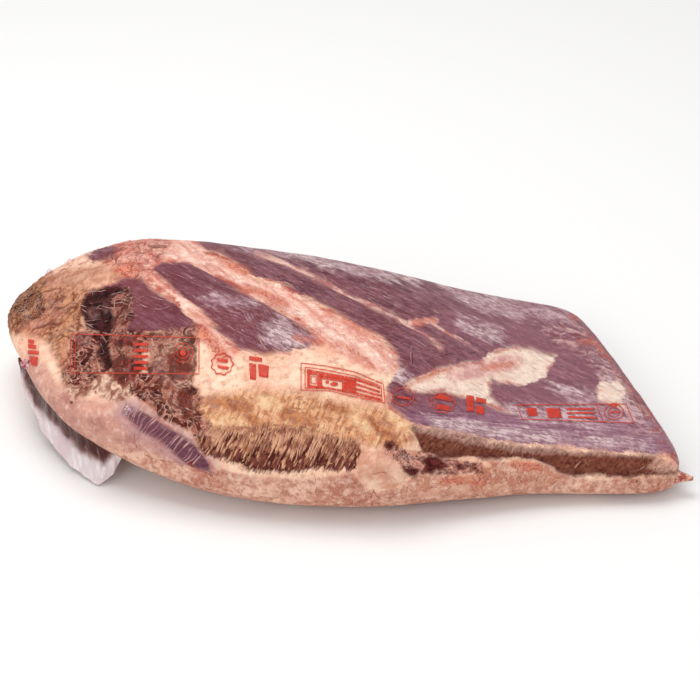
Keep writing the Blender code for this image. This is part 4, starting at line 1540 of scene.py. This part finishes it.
def streaked_finish(name, first, second, scale, alpha=1.0, roughness=0.45, specular=0.3):
    """A thread's finish: two colours in blotches, and an alpha that thins and thickens along it."""
    f = Finish(name)
    blotch = f.noise(f.object_place, scale, 3, 0.6)
    if alpha < 1:
        f.shade(Alpha=f.step(f.noise(f.object_place, 110, 3), 0.40, 0.62) * alpha)
    f.shade(
        Base_Color=f.mix(f.step(blotch, 0.40, 0.60), first, second),
        Roughness=roughness + (blotch - 0.5) * 0.3,
        Specular_IOR_Level=specular,
        Normal=f.bumps(f.noise(f.object_place, 900, 2), 0.3, 0.0002),
    )
    return f


def film_finish():
    """Clear shrink film: nearly invisible where it lies flat, whitish along its wrinkles, partly haze and partly
    painted glints.
    """
    f = Finish("clear shrink film")
    haze = f.step(f.noise(f.object_place, 30, 1), 0.5, 0.75)
    f.shade(
        Base_Color=f.mix(haze, (255, 246, 244), (244, 230, 234)),
        # Whitish along the wrinkles: partly the film's haze, partly painted glints.
        Alpha=0.004 + f.step(f.attribute("wrinkle"), 0.6, 1.0) * 0.035,
        Roughness=0.14 + haze * 0.1,
        Normal=f.bumps(f.noise(f.object_place, 60, 1) * 2, 0.5, 0.0006),
    )
    return f


def ink_finish():
    """Red printing ink, a little worn and thin in places."""
    f = Finish("red printing")
    worn = f.noise(f.object_place, 700, 3, 0.7)
    patchy = f.noise(f.object_place, 120, 2)
    f.shade(
        Base_Color=f.mix(f.step(worn, 0.4, 0.7), (212, 52, 36), (222, 92, 70)),
        Alpha=0.32 + f.step(worn, 0.60, 0.46) * 0.38 + f.step(patchy, 0.4, 0.6) * 0.2,
        Roughness=0.35 + worn * 0.1,
        Specular_IOR_Level=0.2,
    )
    return f


def tail_finish():
    """Loose film: painted shade of the meat's underside and painted shadow lie dark on it by the meat, and it is
    pinkish white at its hem.
    """
    f = Finish("loose film")
    place, fall, run = f.object_place, f.attribute("fall"), f.attribute("run")
    over_painted_shade = f.attribute("over_painted_shade")
    blotch = f.noise(place, 90, 3)
    lines = f.node("ShaderNodeCombineXYZ", X=run * 13, Y=fall * 2, Z=0.0).outputs[0]
    gathers = f.noise(lines, 1.0, 3, 0.6, 0.6)
    # Painted shade of the meat's underside and painted shadow, laid on the film.
    under = f.coats(
        (138, 98, 92),
        (f.step(over_painted_shade, 0, 8), (70, 28, 24)),
        (f.step(blotch, 0.40, 0.62) * 0.6, (70, 30, 28)),
        (f.step(f.noise(place, 190, 3), 0.54, 0.64) * 0.6, (54, 12, 14)),
        (f.step(gathers, 0.56, 0.70) * 0.35, (186, 154, 148)),
    )
    clear = f.mix(f.step(gathers, 0.40, 0.64), (238, 214, 218), (250, 238, 240))
    covered = f.step(over_painted_shade + (blotch - 0.5) * 9 + (gathers - 0.5) * 4, -4, 4)
    hem = f.step(fall, 0.94, 0.99)
    f.shade(
        Base_Color=f.mix(covered, clear, under),
        Alpha=0.52 + covered * 0.46 + f.step(gathers, 0.56, 0.68) * 0.2 + hem * 0.3,
        Roughness=0.2 + blotch * 0.15,
        Specular_IOR_Level=0.2,
        Normal=f.bumps(gathers, 0.8, 0.0012),
    )
    return f


def tail_piece():
    """The loose film as one thin sheet: root on the meat's edge, a sagging curve to the free hem, ruffled."""
    steps, rows = 150, 26
    hem_points = np.array(TAIL_HEM)
    at = np.linspace(0, 1, len(hem_points))
    u = np.linspace(0, 1, steps)
    hem = np.stack([smooth_curve(list(zip(at, hem_points[:, k])), u) for k in range(3)], -1)
    latitude = np.radians(TAIL_ANGLES[0] + (TAIL_ANGLES[1] - TAIL_ANGLES[0]) * u)
    _, along = squared_circle(latitude, RING_SPACING[0])
    edge = body_form(along, np.zeros(steps))
    inward = -edge * (1, 1, 0)
    inward /= np.linalg.norm(inward, axis=1)[:, None]
    root = edge + inward * TAIL_ROOT_DEPTH
    v = np.linspace(0, 1, rows)[:, None, None]
    sheet = root * (1 - v) + hem * v + inward * TAIL_SAG * 4 * v * (1 - v) + FORM_PLACE
    normals = np.cross(np.gradient(sheet, axis=1), np.gradient(sheet, axis=0))
    normals /= np.maximum(np.linalg.norm(normals, axis=-1, keepdims=True), 1e-9)
    if (normals * -inward).sum() < 0:
        normals = -normals
    grid_u, grid_v = np.meshgrid(u, np.linspace(0, 1, rows), indexing="xy")
    ripple = noise_over(41, grid_u * 15, grid_v * 1.6) + 0.3 * noise_over(42, grid_u * 36, grid_v * 3)
    sheet = sheet + normals * (TAIL_RIPPLE * ripple * ease(grid_v * 3))[..., None]
    frill = TAIL_FRILL * noise_over(43, grid_u * 11) * grid_v**4
    sheet = sheet + (hem - root) / np.linalg.norm(hem - root, axis=-1, keepdims=True) * frill[..., None]
    sheet = np.maximum(sheet, np.array(cad_low) + TAIL_MARGIN)
    piece = open_sheet("film_tail", sheet, normals)
    store(piece, "fall", grid_v, tips=False)
    store(piece, "run", grid_u, tips=False)
    store(piece, "over_painted_shade", inside(TAIL_PAINTED_SHADE, picture_place(sheet)), tips=False)
    return thin_wall(piece, LOOSE_FILM)


def tip_piece():
    """The twisted tip: rings along its line, narrowing to the point, with pleats that turn as they go."""
    steps, sides = 40, 42
    start, end = np.array(TIP_BASE), np.array(TIP_END)
    ahead = (end - start) / np.linalg.norm(end - start)
    across = np.cross((0, 0, 1), ahead)
    across /= np.linalg.norm(across)
    up = np.cross(ahead, across)
    t = np.linspace(0, 1, steps)[:, None]
    turn = np.linspace(0, 2 * np.pi, sides, endpoint=False)[None]
    radius = TIP_RADIUS * (1 - t) + TIP_END_RADIUS * t
    radius = radius * (1 + TIP_PLEAT_DEPTH * np.cos(TIP_PLEATS * turn + TIP_TWIST * t) * ease(t * 2)) * 0.96
    ring = across * (radius * np.cos(turn))[..., None]
    ring = ring + up * (radius * np.sin(turn) * TIP_FLATNESS)[..., None]
    rings = start + (end - start) * t[..., None] + ring
    return tubes("film_tip", rings[None])


def crest_piece(skin):
    """A thin ruffle of film standing up along the point end's far edge: height times noise along it."""
    steps, rows = 90, 7
    foot, normals = skin.meet(run_along(RUFFLE_LINE, steps))
    foot = rounded(foot, 6)
    u = np.linspace(0, 1, steps)
    height = RUFFLE_HEIGHT * ease(np.minimum(u, 1 - u) * 5) * (0.55 + 0.45 * noise_over(51, u * 11))
    lean_out = noise_over(52, u * 17) * RUFFLE_LEAN
    v = np.linspace(0, 1, rows)[:, None]
    sideways = np.array((0, 1.0, 0))
    sheet = foot + normals * ((height * v)[..., None] - RUFFLE_DEPTH)
    sheet = sheet + sideways * (lean_out * v**2)[..., None]
    return thin_wall(open_sheet("film_ruffle", sheet), RUFFLE_THICKNESS, offset=0)


def pucker_piece(skin):
    """A crumpled knot of film at the corner: a small ball pushed in and out by sharp noise."""
    middle, normal = skin.meet(np.array([KNOT_PLACE]))
    steps, sides = 34, 40
    latitude = np.linspace(-np.pi / 2, np.pi / 2, steps)[:, None]
    turn = np.linspace(0, 2 * np.pi, sides, endpoint=False)[None]
    cosine = np.cos(latitude)
    out = np.stack([cosine * np.cos(turn), cosine * np.sin(turn), np.sin(latitude) + 0 * turn], -1)
    crumple = np.abs(lattice_noise(out + 5, 2.6, 61)) + 0.5 * np.abs(lattice_noise(out + 5, 5.5, 62))
    radius = KNOT_RADIUS * (0.62 + 0.55 * crumple)
    rings = middle[0] + normal[0] * KNOT_LIFT + out * radius[..., None] * KNOT_STRETCH
    rings = np.maximum(rings, np.array(cad_low) + KNOT_MARGIN)
    return tubes("film_knot", rings[None])


def strewn(seed, count, low, high, reach, angle, spread, steps=8):
    """Seeded short lines: random starts in a box of the picture, turned about an angle in degrees."""
    dice = np.random.default_rng(seed)
    start = dice.uniform(low, high, (count, 2))
    turn = np.radians(dice.normal(angle, spread, count))
    length = dice.uniform(reach[0], reach[1], count)
    share = np.linspace(0, 1, steps)[None, :, None]
    ahead = np.stack([np.cos(turn), np.sin(turn)], -1) * length[:, None]
    return start[:, None] + ahead[:, None] * share


def kept(paths, outline, least=1.0):
    """The paths whose middle and both ends lie inside an outline by at least so much."""
    ends = np.min([inside(outline, paths[:, k]) for k in (0, paths.shape[1] // 2, -1)], axis=0)
    return paths[ends > least]


def between(upper, lower, count, seed, steps=9, whole=False):
    """Strands on random parts of the way from one line to another, or on most of it where whole is set."""
    dice = np.random.default_rng(seed)
    at = (np.arange(count) + dice.uniform(-0.4, 0.4, count)) / count
    fine_upper, fine_lower = run_along(upper, 200), run_along(lower, 200)
    pick = np.clip(at * 199, 0, 199).astype(int)
    first = fine_upper[pick] + dice.normal(0, 1.2, (count, 2))
    second = fine_lower[pick] + dice.normal(0, 1.2, (count, 2))
    low, high = np.sort(dice.uniform(0, 1, (2, count)) ** 1.6, axis=0)[:, :, None, None]
    low, high = (0.3 * low, 0.65 + 0.35 * high) if whole else (low, high)
    share = low + (high - low) * np.linspace(0, 1, steps)[None, :, None]
    return first[:, None] * (1 - share) + second[:, None] * share


def floor_and_light():
    """A plain pale floor, a soft light overhead and in front, and pale light all round."""
    bpy.ops.mesh.primitive_plane_add(size=12, location=(0, 0, 0))
    floor = bpy.context.object
    floor.name = "floor"
    f = Finish("pale floor")
    f.shade(Base_Color=(0.86, 0.86, 0.86, 1), Roughness=0.9)
    f.put_on(floor)
    world = bpy.data.worlds.new("studio")
    world.use_nodes = True
    world.node_tree.nodes["Background"].inputs["Color"].default_value = (1.0, 0.99, 0.98, 1)
    world.node_tree.nodes["Background"].inputs["Strength"].default_value = 0.70
    bpy.context.scene.world = world
    for name, place, size, power, aim in (
        ("overhead", (-0.3, 0.15, 1.5), 1.0, 12, (0, 0, 0)),
        ("front fill", (-0.9, -1.6, 1.0), 1.0, 10, (0, 0, 0.05)),
    ):
        light = bpy.data.lights.new(name, "AREA")
        light.size = size
        light.energy = power
        lamp = bpy.data.objects.new(name, light)
        lamp.location = place
        towards = np.array(aim) - place
        yaw = math.atan2(towards[1], towards[0])
        lamp.rotation_euler = (0, math.acos(-towards[2] / np.linalg.norm(towards)), yaw + math.pi)
        bpy.context.scene.collection.objects.link(lamp)


def camera():
    """The photo's view as a camera."""
    data = bpy.data.cameras.new("photo view")
    data.sensor_width = 36
    data.lens = data.sensor_width / 2 / VIEW_SLOPE
    eye = bpy.data.objects.new("photo view", data)
    eye.location = VIEW_PLACE
    eye.rotation_euler = (math.pi / 2 - VIEW_ANGLE, 0, 0)
    bpy.context.scene.collection.objects.link(eye)
    bpy.context.scene.camera = eye


def dress(piece, finish):
    """Takes the finish, rides the root body and replaces the solid, as every piece here does."""
    finish.put_on(piece)
    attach(piece, "root")
    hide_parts(NODE)


def lay_meat_threads(skin):
    """Strands of the open grain, stripes, silver threads, veins and curled fibres, on the meat itself."""
    dice = np.random.default_rng(7)

    def lay(name, paths, thin, thick, flatness, *finish, lift=0.0):
        """Threads of random half widths in millimetres, with a streaked finish."""
        width = dice.uniform(thin, thick, (len(paths), 1)) * MM
        dress(threads(name, skin, paths, width, width * flatness, lift), streaked_finish(*finish))

    long_strands = between(*GRAIN_STRANDS, 88, 71)
    stubs = between(*GRAIN_STUBS, 56, 69)
    grain = wavered(np.concatenate([long_strands, stubs]), 1.4, 0.12, 72)
    strands = ("pale strands", (208, 156, 126), (142, 84, 64), 120)
    lay("grain_strands", grain, 0.32, 1.05, 0.8, *strands, lift=-0.1 * MM)

    stripes = wavered(between(*STRIPES, 26, 73, whole=True), 2.6, 0.14, 74)
    lay("muscle_stripes", stripes, 0.22, 0.55, 0.45, "pale stripes", (194, 148, 142), (140, 92, 96), 120)

    pale = np.concatenate([
        np.array([run_along(line, 14) for line in PALE_THREADS]),
        kept(strewn(75, 520, (180, 236), (680, 450), (8, 36), 25, 5, 14), LEAN["long"], 3.0),
        kept(strewn(85, 420, (230, 240), (500, 330), (6, 26), 22, 5, 14), STREAKED, 0.5),
        kept(strewn(76, 60, (150, 260), (320, 350), (8, 24), 34, 5, 14), LEAN["second"], 2.0),
        kept(strewn(94, 110, (236, 296), (320, 346), (8, 26), 50, 6, 14), LEAN["second"], 1.0),
        kept(strewn(86, 260, (520, 300), (680, 440), (4, 14), 22, 24, 14), MOTTLED, 0.5),
        kept(strewn(87, 120, (420, 405), (670, 450), (14, 50), 8, 4, 14), LEAN["long"], 1.0),
    ])
    pale = wavered(pale, 0.9, 0.1, 77)
    lay("silver_threads", pale, 0.12, 0.34, 0.5, "silver threads", (216, 178, 176), (168, 124, 132), 150, 0.8)

    veins = np.array([run_along(line, 16) for line in RED_VEINS])
    low_veins = kept(strewn(78, 260, (20, 380), (680, 508), (5, 18), 100, 30, 16), LOW_FAT, 0.5)
    flecks = kept(strewn(88, 90, (540, 310), (680, 440), (3, 10), 30, 40, 16), MOTTLED, 0.5)
    veins = wavered(np.concatenate([veins, low_veins, flecks]), 1.6, 0.16, 79)
    lay("red_veins", veins, 0.14, 0.34, 0.6, "red veins", (188, 96, 76), (148, 54, 44), 150, 0.85)

    strewn_curls = strewn(89, 260, (60, 284), (214, 430), (4, 11), 20, 90, 12)
    curls = [kept(strewn_curls, outline, 1.0) for outline in BROWNED.values()]
    curls = wavered(np.concatenate(curls), 3.2, 0.14, 90)
    lay("curled_fibres", curls, 0.22, 0.6, 0.9, "curled fibres", (214, 170, 154), (132, 80, 70), 130, 0.95)

    at = dice.uniform(0, 149, 190).astype(int)
    lean_over = np.radians(dice.normal(-75, 22, 190))
    away = np.stack([np.cos(lean_over), np.sin(lean_over)], -1) * dice.uniform(2.0, 6.5, 190)[:, None]
    foot = run_along(CUT_TOP[0], 150)[at] + dice.normal(0, 1.2, (190, 2)) + (0, 1.5)
    fringe = wavered(foot[:, None] + away[:, None] * np.linspace(0, 1, 8)[None, :, None], 0.8, 0.2, 93)
    lay("cut_fringe", fringe, 0.12, 0.26, 0.7, "pale fringe", (214, 178, 160), (166, 126, 112), 150, 0.8)
    fuzz = kept(strewn(91, 420, (410, 420), (690, 482), (3, 8), 110, 25, 8), CUT_SIDE, 0.5)
    fuzz = wavered(fuzz, 1.0, 0.2, 92)
    lay("cut_fibres", fuzz, 0.12, 0.3, 0.7, "cut fibres", (162, 108, 86), (98, 52, 40), 150, 0.8)

    # Painted shade along the creases, as thin dark threads.
    dark = wavered(np.array([run_along(line, 16) for line in DARK_CREASES]), 0.8, 0.15, 80)
    crease = threads("dark_creases", skin, dark, 0.35 * MM, 0.12 * MM)
    dress(crease, streaked_finish("dark creases", (86, 38, 48), (62, 24, 32), 200, 0.9))


def lay_film_creases(skin):
    """Whitish creases of the film, partly haze and partly painted glints: the drawn ones, and seeded short ones
    over the first muscle.
    """
    drawn = np.array([run_along(line, 18) for line in FILM_CREASES])
    over_lumps = kept(strewn(81, 90, (60, 284), (210, 350), (6, 18), 4, 26, 18), CREASED, 1.0)
    paths = wavered(np.concatenate([drawn, over_lumps]), 1.2, 0.14, 83)
    width = np.random.default_rng(84).uniform(0.12, 0.26, (len(paths), 1)) * MM
    creases = threads("film_creases", skin, paths, width, width * 0.8)
    finish = streaked_finish("film creases", (242, 204, 196), (206, 150, 146), 200, 0.6, 0.3, 0.5)
    dress(creases, finish)


def lay_print(skin):
    """The printing: frames as narrow ribbons of ink, bars, rings and discs, all laid on the film."""
    patches = []
    for frame_line in FRAMES:
        for start, end in itertools.pairwise(np.array(frame_line, float)):
            side = np.array((start[1] - end[1], end[0] - start[0])) / np.linalg.norm(end - start)
            side = side * FRAME_HALF_WIDTH
            patches.append(bar_patch([start - side, end - side, end + side, start + side], 24))
    patches += [bar_patch(bar) for bar in BARS]
    patches += [ring_patch(*ring) for ring in RINGS]
    patches += [ring_patch(x, y, wide, tall, wide, 0, 32) for x, y, wide, tall in SOLID_DISCS]
    dress(sheets("film_print", skin, patches, INK_LIFT, INK_THICKNESS), ink_finish())


def main():
    """Builds the meat, its film and printing, the stage and the camera."""
    bpy.context.scene.view_settings.view_transform = "Standard"
    camera()
    floor_and_light()
    solid, normals = base_grid()
    place, past = wrapped_place(solid, normals)
    fields = region_fields(place, past, solid)
    folds = fold_lines(solid)
    low, high = np.array(cad_low), np.array(cad_high)
    meat_grid = solid + normals * meat_relief(solid, place, fields, folds)[..., None]
    meat_grid = np.clip(meat_grid, low + (BOX_MARGIN, BOX_MARGIN, 0.0003), high - BOX_MARGIN)
    meat = closed_mesh("brisket_meat", meat_grid)
    for name, values in fields.items():
        store(meat, name, np.clip(values, -40, 40))
    store(meat, "folds", folds * folded_share(fields))
    store(meat, "view_place", np.concatenate([place / 100, past[..., None] / POINT_SIZE / 100], -1))
    dress(meat, meat_finish())
    lay_meat_threads(Skin(meat_grid, normals, *place_again(meat_grid, place, past)))

    wrinkles = film_wrinkles(solid, fields)
    film_grid = meat_grid + normals * (FILM_GAP + wrinkles)[..., None]
    film_grid = np.clip(film_grid, low + (FILM_MARGIN, FILM_MARGIN, 0.0001), high - FILM_MARGIN)
    film = closed_mesh("shrink_film", film_grid)
    store(film, "wrinkle", wrinkles / FILM_RISE)
    dress(film, film_finish())
    skin = Skin(film_grid, normals, *place_again(film_grid, place, past))
    lay_film_creases(skin)
    lay_print(skin)
    dress(tail_piece(), tail_finish())
    tip = streaked_finish("twisted film", (222, 172, 150), (150, 58, 48), 210, 1.0, 0.25, 0.4)
    dress(tip_piece(), tip)
    ruffle = streaked_finish("film ruffle", (240, 214, 210), (206, 140, 136), 120, 0.75, 0.2, 0.6)
    dress(crest_piece(skin), ruffle)
    knot = streaked_finish("film knot", (226, 178, 186), (150, 44, 60), 260, 1.0, 0.2, 0.6)
    dress(pucker_piece(skin), knot)


def place_again(grid, place, past):
    """Picture places of a surface beside the solid: measured anew where it is seen, kept where it isn't."""
    return np.where((past == 0)[..., None], picture_place(grid), place), past


main()
